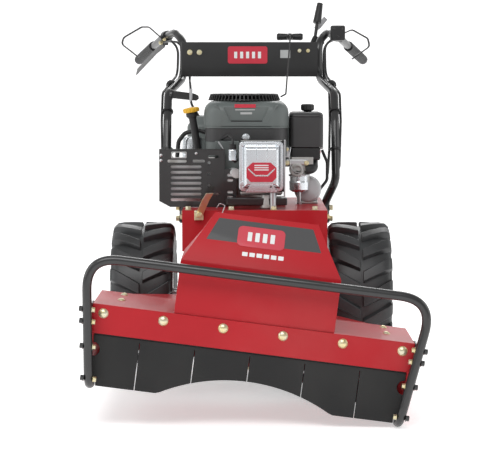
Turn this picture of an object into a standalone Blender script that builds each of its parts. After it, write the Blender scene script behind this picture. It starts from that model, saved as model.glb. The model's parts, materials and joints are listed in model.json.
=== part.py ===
"""Walk-behind brush mower: a pivoting cutting deck in front of a two-wheeled engine chassis with handles.

Metres, +Z up. The origin is on the ground, midway between the wheels and under the axle.
-Y is the front of the machine and +X is the operator's left.
"""

from math import atan2, cos, pi, radians, sin, sqrt

import bmesh
import bpy
from mathutils import Matrix, Vector

MM = 0.001
GAP = 0.3 * MM

# Driving dimensions
WHEEL_RADIUS = 203 * MM
WHEEL_WIDTH = 176 * MM
TRACK_HALF = 306 * MM
AXLE_RADIUS = 12.7 * MM

DECK_ROLL = radians(7.25)
ROLL_AXIS_Z = 200 * MM
DECK_HALF = 380 * MM
DECK_FRONT = -940 * MM
DECK_REAR = -190 * MM
DECK_WALL = 4 * MM
DECK_TOP = 205 * MM
SHELF_TOP = 249 * MM
SHELF_REAR = -690 * MM
SKIRT_BOTTOM = 62 * MM
STRIP_BOTTOM = 179 * MM
BLADE_Y = -560 * MM
BLADE_RADIUS = 352 * MM
BLADE_Z = 90 * MM
FLAP_HALF = 368 * MM
FLAP_BOTTOM = 55 * MM
TUBE_RADIUS = 11.1 * MM
SKID_X = 365 * MM
SKID_Z = ROLL_AXIS_Z - (ROLL_AXIS_Z - TUBE_RADIUS - SKID_X * sin(DECK_ROLL)) / cos(DECK_ROLL)

PLATFORM_LEFT = -185 * MM
PLATFORM_RIGHT = 203 * MM
PLATFORM_FRONT = -340 * MM
PLATFORM_REAR = 150 * MM
PLATFORM_TOP = 466 * MM
PLATFORM_BOTTOM = 356 * MM

CRANK = Vector((-15 * MM, -80 * MM, 0))
DRIVE_SHAFT_Y = 72 * MM
TRACTION_BELT_Z = 400 * MM
BLADE_BELT_Z = 330 * MM
HANDLE_RADIUS = 12 * MM
GRIP_RADIUS = 16.5 * MM

for item in list(bpy.data.objects):
    bpy.data.objects.remove(item, do_unlink=True)
parts = bpy.data.collections.new("brush_mower")
cutters = bpy.data.collections.new("cutters")
bpy.context.scene.collection.children.link(parts)
bpy.context.scene.collection.children.link(cutters)
FINISHES = {}


def mm(*values):
    """A place given in millimetres."""
    return Vector(values) * MM


def finish(name, colour, roughness, metallic=0.0):
    """A Principled material, made once for each name."""
    if name not in FINISHES:
        made = bpy.data.materials.new(name)
        made.use_nodes = True
        shader = made.node_tree.nodes["Principled BSDF"]
        shader.inputs["Base Color"].default_value = (*colour, 1)
        shader.inputs["Roughness"].default_value = roughness
        shader.inputs["Metallic"].default_value = metallic
        made.diffuse_color = (*colour, 1)
        FINISHES[name] = made
    return FINISHES[name]


RED = finish("red_paint", (0.47, 0.035, 0.04), 0.35)
BLACK = finish("black_paint", (0.02, 0.02, 0.022), 0.3)
ZINC = finish("yellow_zinc", (0.62, 0.53, 0.28), 0.35, 1.0)
STEEL = finish("bright_steel", (0.6, 0.6, 0.62), 0.3, 1.0)
CAST = finish("cast_aluminium", (0.55, 0.55, 0.54), 0.5, 1.0)
CHROME = finish("chrome", (0.8, 0.8, 0.82), 0.12, 1.0)
SHROUD = finish("shroud_plastic", (0.16, 0.18, 0.175), 0.45)
DARK = finish("dark_plastic", (0.045, 0.045, 0.045), 0.5)
YELLOW = finish("yellow_plastic", (0.75, 0.45, 0.03), 0.45)
TYRE = finish("tyre_rubber", (0.03, 0.033, 0.036), 0.75)
SHEET = finish("flap_rubber", (0.045, 0.045, 0.045), 0.8)
BELT = finish("belt_rubber", (0.02, 0.02, 0.02), 0.8)


def placed(obj, name, paint, parent=None):
    """Names an object, paints it and keeps it in the collection of parts."""
    obj.name = name
    obj.data.name = name
    for group in list(obj.users_collection):
        group.objects.unlink(obj)
    parts.objects.link(obj)
    obj.data.materials.clear()
    obj.data.materials.append(paint)
    obj.parent = parent
    return obj


def from_bmesh(bm):
    """A mesh object in the collection of parts, with its faces turned outward."""
    bmesh.ops.recalc_face_normals(bm, faces=bm.faces[:])
    mesh = bpy.data.meshes.new("solid")
    bm.to_mesh(mesh)
    bm.free()
    obj = bpy.data.objects.new("solid", mesh)
    parts.objects.link(obj)
    return obj


def smooth(obj, angle=35):
    obj.data.shade_smooth()
    obj.data.set_sharp_from_angle(angle=radians(angle))
    return obj


def box(low, high, bevel=0.0, segments=2):
    """A block between two corners, in metres, with its origin at its centre."""
    low, high = Vector(low), Vector(high)
    bm = bmesh.new()
    bmesh.ops.create_cube(bm, size=1)
    bmesh.ops.scale(bm, vec=high - low, verts=bm.verts[:])
    obj = from_bmesh(bm)
    obj.location = (low + high) / 2
    if bevel:
        rounding = obj.modifiers.new("rounding", "BEVEL")
        rounding.width = bevel
        rounding.segments = segments
    return obj


def rod(start, end, radius, end_radius=None, sides=20):
    """A cylinder or cone from one point to another."""
    start, end = Vector(start), Vector(end)
    bm = bmesh.new()
    bmesh.ops.create_cone(
        bm,
        cap_ends=True,
        segments=sides,
        radius1=radius,
        radius2=radius if end_radius is None else end_radius,
        depth=(end - start).length,
    )
    obj = smooth(from_bmesh(bm))
    obj.location = (start + end) / 2
    obj.rotation_euler = (end - start).to_track_quat("Z", "Y").to_euler()
    return obj


def turned(profile, centre, direction=(0, 0, 1), steps=32):
    """A closed (radius, height) profile in metres, turned about an axis through centre."""
    bm = bmesh.new()
    ring = [bm.verts.new((radius, 0, height)) for radius, height in profile]
    for a, b in zip(ring, ring[1:] + ring[:1]):
        bm.edges.new((a, b))
    mesh = bpy.data.meshes.new("profile")
    bm.to_mesh(mesh)
    bm.free()
    obj = bpy.data.objects.new("profile", mesh)
    parts.objects.link(obj)
    screw = obj.modifiers.new("turn", "SCREW")
    screw.steps = steps
    screw.render_steps = steps
    screw.use_merge_vertices = True
    screw.merge_threshold = 0.0001
    screw.use_normal_calculate = True
    obj.location = centre
    obj.rotation_euler = Vector(direction).to_track_quat("Z", "Y").to_euler()
    obj = frozen(obj)
    bm = bmesh.new()
    bm.from_mesh(obj.data)
    bmesh.ops.remove_doubles(bm, verts=bm.verts[:], dist=1e-6)
    bmesh.ops.recalc_face_normals(bm, faces=bm.faces[:])
    bm.to_mesh(obj.data)
    bm.free()
    return smooth(obj)


def rounded_path(points, radius, steps=4):
    """The points of a bent tube: each inner corner becomes an arc of the bend radius."""
    points = [Vector(point) for point in points]
    path = [points[0]]
    for before, corner, after in zip(points, points[1:], points[2:]):
        back = (before - corner).normalized()
        ahead = (after - corner).normalized()
        half = back.angle(ahead) / 2
        room = min((before - corner).length, (after - corner).length) * 0.49
        reach = min(radius / max(abs(sin(half) / cos(half)), 1e-6), room)
        if reach < 1e-4 or half > radians(88):
            path.append(corner)
            continue
        first, last = corner + back * reach, corner + ahead * reach
        for i in range(steps + 1):
            t = i / steps
            path.append((1 - t) ** 2 * first + 2 * t * (1 - t) * corner + t**2 * last)
    path.append(points[-1])
    return path


def tube(points, radius, resolution=2):
    """A round tube or rod along points, as a closed mesh."""
    curve = bpy.data.curves.new("tube", "CURVE")
    curve.dimensions = "3D"
    curve.bevel_depth = radius
    curve.bevel_resolution = resolution
    curve.use_fill_caps = True
    spline = curve.splines.new("POLY")
    spline.points.add(len(points) - 1)
    for point, place in zip(spline.points, points):
        point.co = (*place, 1)
    obj = bpy.data.objects.new("tube", curve)
    parts.objects.link(obj)
    return smooth(frozen(obj), 50)


def outline(points, thickness):
    """A flat plate in its own XY plane, centred on z = 0, from a closed outline."""
    curve = bpy.data.curves.new("plate", "CURVE")
    curve.dimensions = "2D"
    curve.fill_mode = "BOTH"
    curve.extrude = thickness / 2
    spline = curve.splines.new("POLY")
    spline.points.add(len(points) - 1)
    for point, place in zip(spline.points, points):
        point.co = (place[0], place[1], 0, 1)
    spline.use_cyclic_u = True
    obj = bpy.data.objects.new("plate", curve)
    parts.objects.link(obj)
    return frozen(obj)


def strip(points, width_direction, width, thickness):
    """A flat bar bent along points: the path is drawn out sideways and given its thickness."""
    side = Vector(width_direction).normalized() * width / 2
    bm = bmesh.new()
    rows = [(bm.verts.new(p - side), bm.verts.new(p + side)) for p in map(Vector, points)]
    for (a, b), (c, d) in zip(rows, rows[1:]):
        bm.faces.new((a, b, d, c))
    obj = from_bmesh(bm)
    wall = obj.modifiers.new("wall", "SOLIDIFY")
    wall.thickness = thickness
    wall.offset = 0
    wall.use_even_offset = True
    return frozen(obj)


def frozen(obj):
    """The object as its modifiers leave it, as a mesh with welded caps."""
    bpy.context.view_layer.update()
    evaluated = obj.evaluated_get(bpy.context.evaluated_depsgraph_get())
    mesh = bpy.data.meshes.new_from_object(evaluated)
    bm = bmesh.new()
    bm.from_mesh(mesh)
    bmesh.ops.remove_doubles(bm, verts=bm.verts[:], dist=1e-6)
    bm.to_mesh(mesh)
    bm.free()
    solid = bpy.data.objects.new("solid", mesh)
    solid.matrix_world = obj.matrix_world
    parts.objects.link(solid)
    bpy.data.objects.remove(obj, do_unlink=True)
    return solid


def combined(base, others, operation):
    """Joins shapes to a base, or cuts them out of it, and leaves the tools in the cutters' collection."""
    for other in others:
        parts.objects.unlink(other)
        cutters.objects.link(other)
        other.hide_render = True
        other.display_type = "WIRE"
        step = base.modifiers.new(operation.lower(), "BOOLEAN")
        step.operation = operation
        step.object = other
    bpy.context.view_layer.update()
    return frozen(base)


def fused(base, *others):
    return combined(base, others, "UNION")


def cut(base, *others):
    return combined(base, others, "DIFFERENCE")


def moved_origin(obj, place):
    """Puts an object's origin on its joint's axis without moving its shape."""
    bpy.context.view_layer.update()
    obj.data.transform(obj.matrix_world)
    obj.matrix_world = Matrix.Identity(4)
    obj.data.transform(Matrix.Translation(-Vector(place)))
    obj.location = place
    return obj


def loft(sections, open_start=False, open_end=False):
    """An open or closed skin between like-numbered rings of points."""
    bm = bmesh.new()
    rings = [[bm.verts.new(point) for point in ring] for ring in sections]
    for near, far in zip(rings, rings[1:]):
        for i in range(len(near)):
            j = (i + 1) % len(near)
            bm.faces.new((near[i], near[j], far[j], far[i]))
    if not open_start:
        bm.faces.new(rings[0])
    if not open_end:
        bm.faces.new(rings[-1])
    return from_bmesh(bm)


def empty(name, place, rotation=(0, 0, 0), parent=None):
    obj = bpy.data.objects.new(name, None)
    obj.location = place
    obj.rotation_euler = rotation
    obj.parent = parent
    parts.objects.link(obj)
    return obj


def on_deck(obj, name, paint, parent=None):
    """A piece drawn on the level deck, hung under an empty on the roll axis."""
    bpy.context.view_layer.update()
    obj.data.transform(obj.matrix_world)
    obj.matrix_world = Matrix.Identity(4)
    obj.data.transform(Matrix.Translation((0, 0, -ROLL_AXIS_Z)))
    return placed(obj, name, paint, deck_axis if parent is None else parent)


# Wheels: a turned steel rim with its hub, a hollow tyre, and a drive shaft to each
def rim_profile():
    points = (
        (-78, 112), (-74, 112), (-72, 101), (72, 101), (74, 112), (78, 112), (76, 98), (20, 95),
        (16, 60), (34, 30), (34, 13), (-34, 13), (-34, 30), (6, 34), (8, 62), (8, 95), (-76, 98),
    )
    return [(radius * MM, along * MM) for along, radius in points]


def tyre_profile():
    half = WHEEL_WIDTH / 2 / MM
    crown = WHEEL_RADIUS / MM
    outer = ((71.5, 101.4), (71.5, 113), (half, 148), (half, 166), (80, crown - 10), (68, crown))
    inner = ((58, crown - 14), (72, 180), (76, 150), (62, 115), (62, 101.4))
    skin = [(-along, radius) for along, radius in outer] + [(a, r) for a, r in reversed(outer)]
    cavity = [(a, r) for a, r in reversed(inner)] + [(-a, r) for a, r in inner]
    return [(radius * MM, along * MM) for along, radius in skin + cavity]


for side, sign in (("left", 1), ("right", -1)):
    hub = Vector((sign * TRACK_HALF, 0, WHEEL_RADIUS))
    outboard = (sign, 0, 0)
    placed(turned(rim_profile(), hub, outboard, 28), f"rim_{side}", CAST)
    placed(turned(tyre_profile(), hub, outboard, 28), f"tyre_{side}", TYRE)
    shaft = rod(mm(sign * 62.3, 0, 203), mm(sign * 352, 0, 203), AXLE_RADIUS, sides=20)
    placed(moved_origin(shaft, hub), f"axle_shaft_{side}", STEEL)

# Chassis: a folded platform on two side plates, tied across by the plate that carries the pivot
platform = box(
    (PLATFORM_LEFT, PLATFORM_FRONT, PLATFORM_BOTTOM), (PLATFORM_RIGHT, PLATFORM_REAR, PLATFORM_TOP)
)
hollow = box(
    (PLATFORM_LEFT + 4 * MM, PLATFORM_FRONT + 4 * MM, PLATFORM_BOTTOM - 20 * MM),
    (PLATFORM_RIGHT - 4 * MM, PLATFORM_REAR + 20 * MM, PLATFORM_TOP - 4 * MM),
)
platform = cut(platform, hollow)
leg_left = box(mm(-150, -100, 140), mm(-144, 130, 463))
leg_right = box(mm(144, -100, 140), mm(150, 130, 463))
cross_plate = box(mm(-147, -99, 141), mm(147, -93, 290))
platform = fused(platform, leg_left, leg_right, cross_plate)
axle_hole = rod(mm(-200, 0, 203), mm(200, 0, 203), 34 * MM, sides=24)
hole_low, hole_high = (CRANK.x, CRANK.y, 440 * MM), (CRANK.x, CRANK.y, 480 * MM)
crank_hole = rod(hole_low, hole_high, 30 * MM, sides=20)
platform = cut(platform, axle_hole, crank_hole)
placed(platform, "engine_platform", RED)

pivot_plate = box(mm(-70, -106.3, 145), mm(70, -100.3, 255))
pivot_tube = rod(mm(0, -176, 200), mm(0, -101, 200), 33 * MM, sides=24)
pivot = fused(pivot_plate, pivot_tube)
pivot = cut(pivot, rod(mm(0, -190, 200), mm(0, -90, 200), 22.3 * MM, sides=24))
placed(pivot, "pivot_housing", BLACK)

# Transaxle: a cast case round the axle on a mounting bar, with the pulley that drives it
case = box(mm(-62, -70, 150), mm(62, 84, 258), 14 * MM, 2)
axle_boss = rod(mm(-62, 0, 203), mm(62, 0, 203), 32 * MM)
mounting_bar = box(mm(-143.6, -40, 150), mm(143.6, 40, 158))
case = fused(case, axle_boss, mounting_bar)
placed(case, "transaxle", CAST)


def pulley_profile(radius, bore, height, groove, shaft_down=0.0):
    """A V-belt pulley about z = 0, with a shaft of its bore's radius drawn below it if wanted."""
    half = height / 2
    lip = half - 2 * MM
    rim = [(radius, half), (radius, lip), (radius - groove, 0), (radius, -lip), (radius, -half)]
    if shaft_down:
        foot = -half - shaft_down
        return [(0.0, half)] + rim + [(bore, -half), (bore, foot), (0.0, foot)]
    return [(bore, half)] + rim + [(bore, -half)]


drive_pulley = turned(
    pulley_profile(62 * MM, 9 * MM, 20 * MM, 12 * MM, TRACTION_BELT_Z - 10 * MM - 258.3 * MM),
    (0, DRIVE_SHAFT_Y, TRACTION_BELT_Z),
    steps=28,
)
placed(drive_pulley, "transaxle_pulley", STEEL)

# Engine: case with its cylinder to the front, head, valve cover, crankshaft and flywheel
case = rod((CRANK.x, CRANK.y, 466.3 * MM), (CRANK.x, CRANK.y, 598 * MM), 86 * MM, sides=28)
barrel = box(mm(-25, -250, 520), mm(79, -80, 598))
base = box(mm(-115, -170, 466.3), mm(95, 40, 478))
boss = box(mm(-140, -140, 466.3), mm(-60, -92, 488))
engine_case = fused(case, barrel, base, boss)
crank_low, crank_high = (CRANK.x, CRANK.y, 440 * MM), (CRANK.x, CRANK.y, 620 * MM)
engine_case = cut(engine_case, rod(crank_low, crank_high, 13 * MM, sides=20))
placed(engine_case, "crankcase", CAST)
placed(box(mm(-30, -300, 506), mm(84, -250.3, 650), 4 * MM, 1), "cylinder_head", CAST)
placed(box(mm(-33, -330, 514), mm(87, -300.3, 648), 9 * MM, 3), "rocker_cover", CHROME)



def scaled(*profile):
    """A (radius, height) profile given in millimetres."""
    return [(radius * MM, height * MM) for radius, height in profile]


crank_profile = scaled((0, 704), (9, 704), (9, 690), (12.5, 680), (12.5, 300), (0, 300))
placed(turned(crank_profile, CRANK, steps=20), "crankshaft", STEEL)
flywheel_profile = scaled((100, 668), (100, 640), (90, 634), (12.9, 634), (12.9, 668))
placed(turned(flywheel_profile, CRANK, steps=32), "flywheel", CAST)
high_groove = scaled((42, 412), (42, 408), (33, 400), (42, 392), (42, 388), (26, 386), (26, 346))
low_groove = scaled((48, 344), (48, 338), (38, 330), (48, 322), (48, 316), (12.9, 316), (12.9, 412))
placed(turned(high_groove + low_groove, CRANK, steps=20), "engine_pulley", STEEL)


def rounded_rectangle(low, high, radius, steps=4):
    """Corner points of a rectangle with round corners, anticlockwise."""
    points = []
    corners = ((high, high, 0), (low, high, 90), (low, low, 180), (high, low, 270))
    for x_from, y_from, start in corners:
        x = x_from[0] - radius if x_from is high else x_from[0] + radius
        y = y_from[1] - radius if y_from is high else y_from[1] + radius
        for i in range(steps + 1):
            turn = radians(start + 90 * i / steps)
            points.append((x + radius * cos(turn), y + radius * sin(turn)))
    return points


def ring_at(low, high, radius, height):
    """A level outline with round corners, as points in space."""
    return [(x, y, height) for x, y in rounded_rectangle(low, high, radius)]


def shroud_ring(inset, height):
    """A level section of the blower housing, drawn in from its widest outline."""
    low = mm(-131 + inset, -196 + inset)
    high = mm(103 - inset, 56 - inset)
    return ring_at(low, high, (50 - 0.3 * inset) * MM, height * MM)


shroud_rows = ((0, 602), (0, 690), (6, 716), (20, 740), (34, 752), (44, 754))
shroud = loft([shroud_ring(*row) for row in shroud_rows], open_start=True)
wall = shroud.modifiers.new("wall", "SOLIDIFY")
wall.thickness = 3 * MM
wall.offset = -1
shroud = frozen(shroud)
shroud = cut(
    shroud,
    box(mm(-28, -210, 590), mm(82, -180, 606)),
    rod(mm(-15, -80, 745), mm(-15, -80, 760), 70 * MM, sides=28),
)
placed(smooth(shroud, 30), "blower_housing", SHROUD)
recoil_outside = scaled((0, 774), (88, 774), (99, 770), (102, 763), (102, 755))
recoil_inside = scaled((96, 755), (92, 768), (0, 768))
placed(turned(recoil_outside + recoil_inside, mm(-20, -80, 0), steps=32), "recoil_cover", DARK)

filter_low = ring_at(mm(107, -135), mm(200, 12), 14 * MM, 625.3 * MM)
filter_mid = ring_at(mm(107, -135), mm(200, 12), 14 * MM, 712 * MM)
filter_top = ring_at(mm(114, -128), mm(193, 5), 12 * MM, 722 * MM)
cleaner = loft([filter_low, filter_mid, filter_top])
placed(smooth(cleaner, 30), "air_filter_housing", DARK)
knob_profile = scaled((0, 744), (17, 744), (20, 740), (20, 728), (9, 722.3), (0, 722.3))
placed(turned(knob_profile, mm(158, -60, 0), steps=16), "air_filter_knob", DARK)

throttle_body = box(mm(112, -134, 560), mm(172, -78, 598))
bowl = rod(mm(140, -106, 512), mm(140, -106, 562), 24 * MM, sides=20)
drain = rod(mm(138, -106, 484), mm(138, -106, 514), 8 * MM, sides=12)
intake = box(mm(118, -120, 596), mm(186, -60, 625))
placed(fused(throttle_body, bowl, drain, intake), "carburettor", CAST)

placed(box(mm(-238, -214, 482), mm(-86, -148, 598), 22 * MM, 3), "muffler", STEEL)


def guard_slots():
    """Eight rows of slots across the guard, each a long one and a short one beside it."""
    rows = 8
    first, last = 486, 604
    for i in range(rows):
        height = first + (last - first) * i / (rows - 1)
        yield box(mm(-236, -240, height - 4), mm(-136, -226, height + 4))
        yield box(mm(-124, -240, height - 4), mm(-92, -226, height + 4))


guard = box(mm(-251, -234, 467), mm(-72, -219, 625))
guard = cut(guard, box(mm(-248, -231.5, 460), mm(-75, -210, 622)), *guard_slots())
placed(guard, "muffler_guard", BLACK)

boot_cap = rod(mm(-50, -290, 596), mm(-50, -290, 640), 11 * MM, 9 * MM)
boot_elbow = rod(mm(-50, -284, 604), mm(-41, -276, 596), 8 * MM)
placed(fused(boot_cap, boot_elbow), "spark_plug_boot", DARK)

FILLER_FOOT = mm(-128, -118, 493)
FILLER_TOP = mm(-166, -125, 722)
filler_axis = (FILLER_TOP - FILLER_FOOT).normalized()
filler_top = (FILLER_TOP - FILLER_FOOT).length / MM
filler_bore = scaled((10.5, 0), (8.5, 0), (8.5, filler_top), (14, filler_top))
filler_neck = scaled((14, filler_top - 10), (10.5, filler_top - 18))
filler = turned(filler_bore + filler_neck, FILLER_FOOT, filler_axis, 20)
placed(filler, "oil_filler_tube", DARK)
cap_profile = scaled((0, 13), (21, 13), (23, 10), (23, 0.3), (2, 0.3), (2, -150), (0, -150))
placed(turned(cap_profile, FILLER_TOP, filler_axis, 20), "oil_cap", YELLOW)

motor = fused(
    rod(mm(-166, -60, 506), mm(-166, -60, 628), 28 * MM, sides=24),
    rod(mm(-166, -60, 626), mm(-166, -60, 648), 20 * MM, sides=20),
    box(mm(-158, -80, 512), mm(-95, -40, 532)),
)
case_low, case_high = (CRANK.x, CRANK.y, 500 * MM), (CRANK.x, CRANK.y, 610 * MM)
motor = cut(motor, rod(case_low, case_high, 86.4 * MM, sides=28))
placed(motor, "starter_motor", CAST)

tank_low = ring_at(mm(-176, 70), mm(126, 255), 30 * MM, 560 * MM)
tank_mid = ring_at(mm(-186, 62), mm(136, 265), 40 * MM, 610 * MM)
tank_high = ring_at(mm(-186, 62), mm(136, 265), 40 * MM, 680 * MM)
tank_top = ring_at(mm(-160, 88), mm(110, 240), 30 * MM, 706 * MM)
tank = loft([tank_low, tank_mid, tank_high, tank_top])
placed(smooth(tank, 40), "fuel_tank", SHROUD)
fuel_cap_profile = scaled((0, 24), (27, 24), (30, 20), (30, 0.3), (0, 0.3))
placed(turned(fuel_cap_profile, mm(-80, 165, 706), steps=24), "fuel_cap", DARK)

# Belts: flat loops around two pulleys, each a closed band
BELT_WIDTH = 9 * MM
BELT_THICKNESS = 4 * MM


def belt_loop(centre_a, radius_a, centre_b, radius_b, steps=12):
    """A closed band round two circles in a level plane."""
    a, b = Vector(centre_a), Vector(centre_b)
    along = (b - a).normalized()
    tilt = atan2(radius_a - radius_b, (b - a).length)
    rings = []
    for extra in (0.0, BELT_THICKNESS):
        ring = []
        for centre, radius, start in ((a, radius_a, pi / 2 - tilt), (b, radius_b, -pi / 2 + tilt)):
            sweep = pi + 2 * tilt if centre is a else pi - 2 * tilt
            for i in range(steps + 1):
                turn = start + sweep * i / steps
                across = Vector((-along.y, along.x, 0))
                ring.append(centre + (along * cos(turn) + across * sin(turn)) * (radius + extra))
        rings.append(ring)
    inner, outer = rings
    up = Vector((0, 0, BELT_WIDTH / 2))
    bm = bmesh.new()
    corners = ((inner, -up), (outer, -up), (outer, up), (inner, up))
    loops = [[bm.verts.new(p + shift) for p in ring] for ring, shift in corners]
    for near, far in zip(loops, loops[1:] + loops[:1]):
        for i in range(len(near)):
            j = (i + 1) % len(near)
            bm.faces.new((near[i], near[j], far[j], far[i]))
    return from_bmesh(bm)


traction_near = (CRANK.x, CRANK.y, TRACTION_BELT_Z)
traction_far = (0, DRIVE_SHAFT_Y, TRACTION_BELT_Z)
traction_belt = belt_loop(traction_near, 42.5 * MM, traction_far, 62.5 * MM)
placed(traction_belt, "traction_belt", BELT)

# Deck: everything below is drawn level and then hung under an empty turned on the roll axis
deck_axis = empty("deck_roll_axis", (0, 0, ROLL_AXIS_Z), (0, DECK_ROLL, 0))
LEVEL_TO_WORLD = Matrix.Translation((0, 0, ROLL_AXIS_Z)) @ Matrix.Rotation(DECK_ROLL, 4, "Y")


def from_level(point):
    """Where a point of the level deck lies once the deck has rolled."""
    return LEVEL_TO_WORLD @ (Vector(point) - Vector((0, 0, ROLL_AXIS_Z)))


def deck_plan(inset):
    """Half-octagon plan of the deck, drawn in by the wall's thickness."""
    half, front, rear = DECK_HALF - inset, DECK_FRONT + inset, DECK_REAR - inset
    slope = 0.414 * inset
    return [
        (half, front), (half, -420 * MM - slope), (130 * MM - slope, rear),
        (-130 * MM + slope, rear), (-half, -420 * MM - slope), (-half, front),
    ]


def prism(plan, low, high):
    """A plan drawn up from one height to another."""
    return loft([[(x, y, low) for x, y in plan], [(x, y, high) for x, y in plan]])


deck = fused(
    prism(deck_plan(0), SKIRT_BOTTOM, DECK_TOP),
    box((-DECK_HALF, DECK_FRONT, SKIRT_BOTTOM + MM), (DECK_HALF, SHELF_REAR, SHELF_TOP)),
)
inside = DECK_HALF - DECK_WALL
flap_room = FLAP_HALF + 2 * MM
deck = cut(
    deck,
    prism(deck_plan(DECK_WALL), 0, DECK_TOP - DECK_WALL),
    box((-inside, DECK_FRONT + DECK_WALL, 0.001), (inside, SHELF_REAR - DECK_WALL, SHELF_TOP - DECK_WALL)),
    box((-flap_room, DECK_FRONT - 9 * MM, 0.002), (flap_room, DECK_FRONT + 9 * MM, STRIP_BOTTOM)),
    box((-2 * inside, DECK_FRONT - 10 * MM, 0.003), (2 * inside, DECK_FRONT + 25 * MM, 80 * MM)),
    rod((0, BLADE_Y, 190 * MM), (0, BLADE_Y, 215 * MM), 40 * MM, sides=24),
)
on_deck(deck, "deck_shell", RED)


def hood_ring(y, low, fold, top, half, top_half):
    """A cross section of the hood: upright sides to the fold, then leaning in to the top."""
    left = [(-half, y, low), (-half, y, fold), (-top_half, y, top)]
    return [mm(*p) for p in left + [(-x, q, z) for x, q, z in reversed(left)]]


def open_below(obj, height):
    """Takes off the faces of the underside, so that the wall's thickness leaves the shell open there."""
    bm = bmesh.new()
    bm.from_mesh(obj.data)
    under = [f for f in bm.faces if f.normal.z < -0.9 and f.calc_center_median().z < height]
    bmesh.ops.delete(bm, geom=under, context="FACES_ONLY")
    bm.to_mesh(obj.data)
    bm.free()
    return obj


def walled(obj, thickness):
    """A skin given a wall on its inner side."""
    wall = obj.modifiers.new("wall", "SOLIDIFY")
    wall.thickness = thickness
    wall.offset = -1
    wall.use_even_offset = True
    return frozen(obj)


hood_front = loft(
    [
        hood_ring(-935, 249.3, 372, 376, 189, 188),
        hood_ring(-858, 249.3, 374, 490, 189, 123),
        hood_ring(-688, 249.3, 374, 471, 189, 123),
    ]
)
hood_back = loft(
    [hood_ring(-689.6, 205.3, 340, 455, 150, 105), hood_ring(-350, 205.3, 300, 352, 130, 95)],
    open_start=True,
    open_end=True,
)
hood_front = walled(open_below(hood_front, 260 * MM), 3 * MM)
hood_back = walled(open_below(hood_back, 260 * MM), 3 * MM)
on_deck(fused(hood_front, hood_back), "belt_hood", RED)

pivot_flange = box(mm(-72, -189.7, 104), mm(72, -181.7, 254))
pivot_shaft = rod(mm(0, -184, 200), mm(0, -108, 200), 22 * MM, sides=24)
on_deck(fused(pivot_flange, pivot_shaft), "deck_pivot_shaft", STEEL)

skid_end = Vector((-SKID_X, -505 * MM, SKID_Z))
skid_bend = Vector((-SKID_X, -961 * MM, SKID_Z))
top_corner = mm(-406, -965, 359)
half_path = rounded_path([skid_end, skid_bend, top_corner], 45 * MM, 4)[:-1]
corner_arc = rounded_path([half_path[-1], top_corner, mm(0, -965, 359)], 70 * MM, 5)[1:-1]
half_path += corner_arc
bumper_path = half_path + [Vector((-p.x, p.y, p.z)) for p in reversed(half_path)]
on_deck(tube(bumper_path, TUBE_RADIUS), "bumper_tube", BLACK)
for side, sign in (("left", 1), ("right", -1)):
    low_x, high_x = sorted((sign * 380.3, sign * 384.8))
    bracket = box(mm(low_x, -949, 178), mm(high_x, -880, 250), 1.5 * MM, 1)
    on_deck(bracket, f"bumper_bracket_{side}", BLACK)
    low_x, high_x = sorted((sign * 338 * MM, sign * 375.6 * MM))
    shoe_z = SKID_Z + TUBE_RADIUS + GAP
    shoe = box((low_x, -880 * MM, shoe_z), (high_x, -505 * MM, shoe_z + DECK_WALL))
    on_deck(shoe, f"skid_shoe_{side}", BLACK)

housing_bore = scaled((15.3, 140), (15.3, 286), (44, 286))
housing_outside = scaled((44, 221), (82, 213), (82, 205.3), (38, 205.3), (38, 140))
housing = turned(housing_bore + housing_outside, (0, BLADE_Y, 0), steps=28)
on_deck(housing, "spindle_housing", CAST)

blade_axis = empty("blade_axis", (0, BLADE_Y, 0), parent=deck_axis)


def on_blade(obj, name, paint):
    """A piece of the blade's assembly, hung under an empty on the blade's axis."""
    on_deck(obj, name, paint, blade_axis)
    obj.data.transform(Matrix.Translation((0, -BLADE_Y, 0)))
    return obj


spindle_profile = scaled((0, 344), (15, 344), (15, 112), (96, 108), (104, 98.4), (0, 98.4))
on_blade(turned(spindle_profile, (0, BLADE_Y, 0), steps=28), "blade_spindle", STEEL)
blade_groove = pulley_profile(72 * MM, 15.3 * MM, 20 * MM, 12 * MM)
blade_pulley = turned(blade_groove, (0, BLADE_Y, BLADE_BELT_Z), steps=32)
on_blade(blade_pulley, "blade_pulley", STEEL)
half_bar, half_width, chamfer = BLADE_RADIUS - 3 * MM, 46 * MM, 30 * MM
blade_plan = [
    (-half_bar, -half_width + chamfer), (-half_bar + chamfer, -half_width), (half_bar, -half_width),
    (half_bar, half_width - chamfer), (half_bar - chamfer, half_width), (-half_bar, half_width),
]
blade = outline(blade_plan, 8 * MM)
blade.location = (0, BLADE_Y, BLADE_Z + 4 * MM)
on_blade(blade, "cutting_blade", STEEL)

# Front flap: a rubber sheet with an arched lower edge, hinged where it leaves the deck's front strip
flap_hinge = (0, DECK_FRONT + 7 * MM, STRIP_BOTTOM - MM - ROLL_AXIS_Z)
flap_axis = empty("flap_axis", flap_hinge, parent=deck_axis)
ARCH_HALF, ARCH_TOP = 206 * MM, 109 * MM
ARCH_RISE = ARCH_TOP - FLAP_BOTTOM
NOTCH_HALF, NOTCH_TOP = 352 * MM, 73 * MM
ARCH_RADIUS = (ARCH_HALF**2 + ARCH_RISE**2) / (2 * ARCH_RISE)


def flap_edge():
    """Outline of the hanging sheet seen from the front, from its top corners down round the arch."""
    half = [(FLAP_HALF, STRIP_BOTTOM - 3 * MM), (FLAP_HALF, NOTCH_TOP), (NOTCH_HALF, NOTCH_TOP)]
    half.append((NOTCH_HALF, FLAP_BOTTOM))
    edge = [(-x, z) for x, z in half]
    for i in range(17):
        x = ARCH_HALF * (i / 8 - 1)
        edge.append((x, ARCH_TOP - ARCH_RADIUS + sqrt(ARCH_RADIUS**2 - x**2)))
    return edge + half[::-1]


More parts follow.
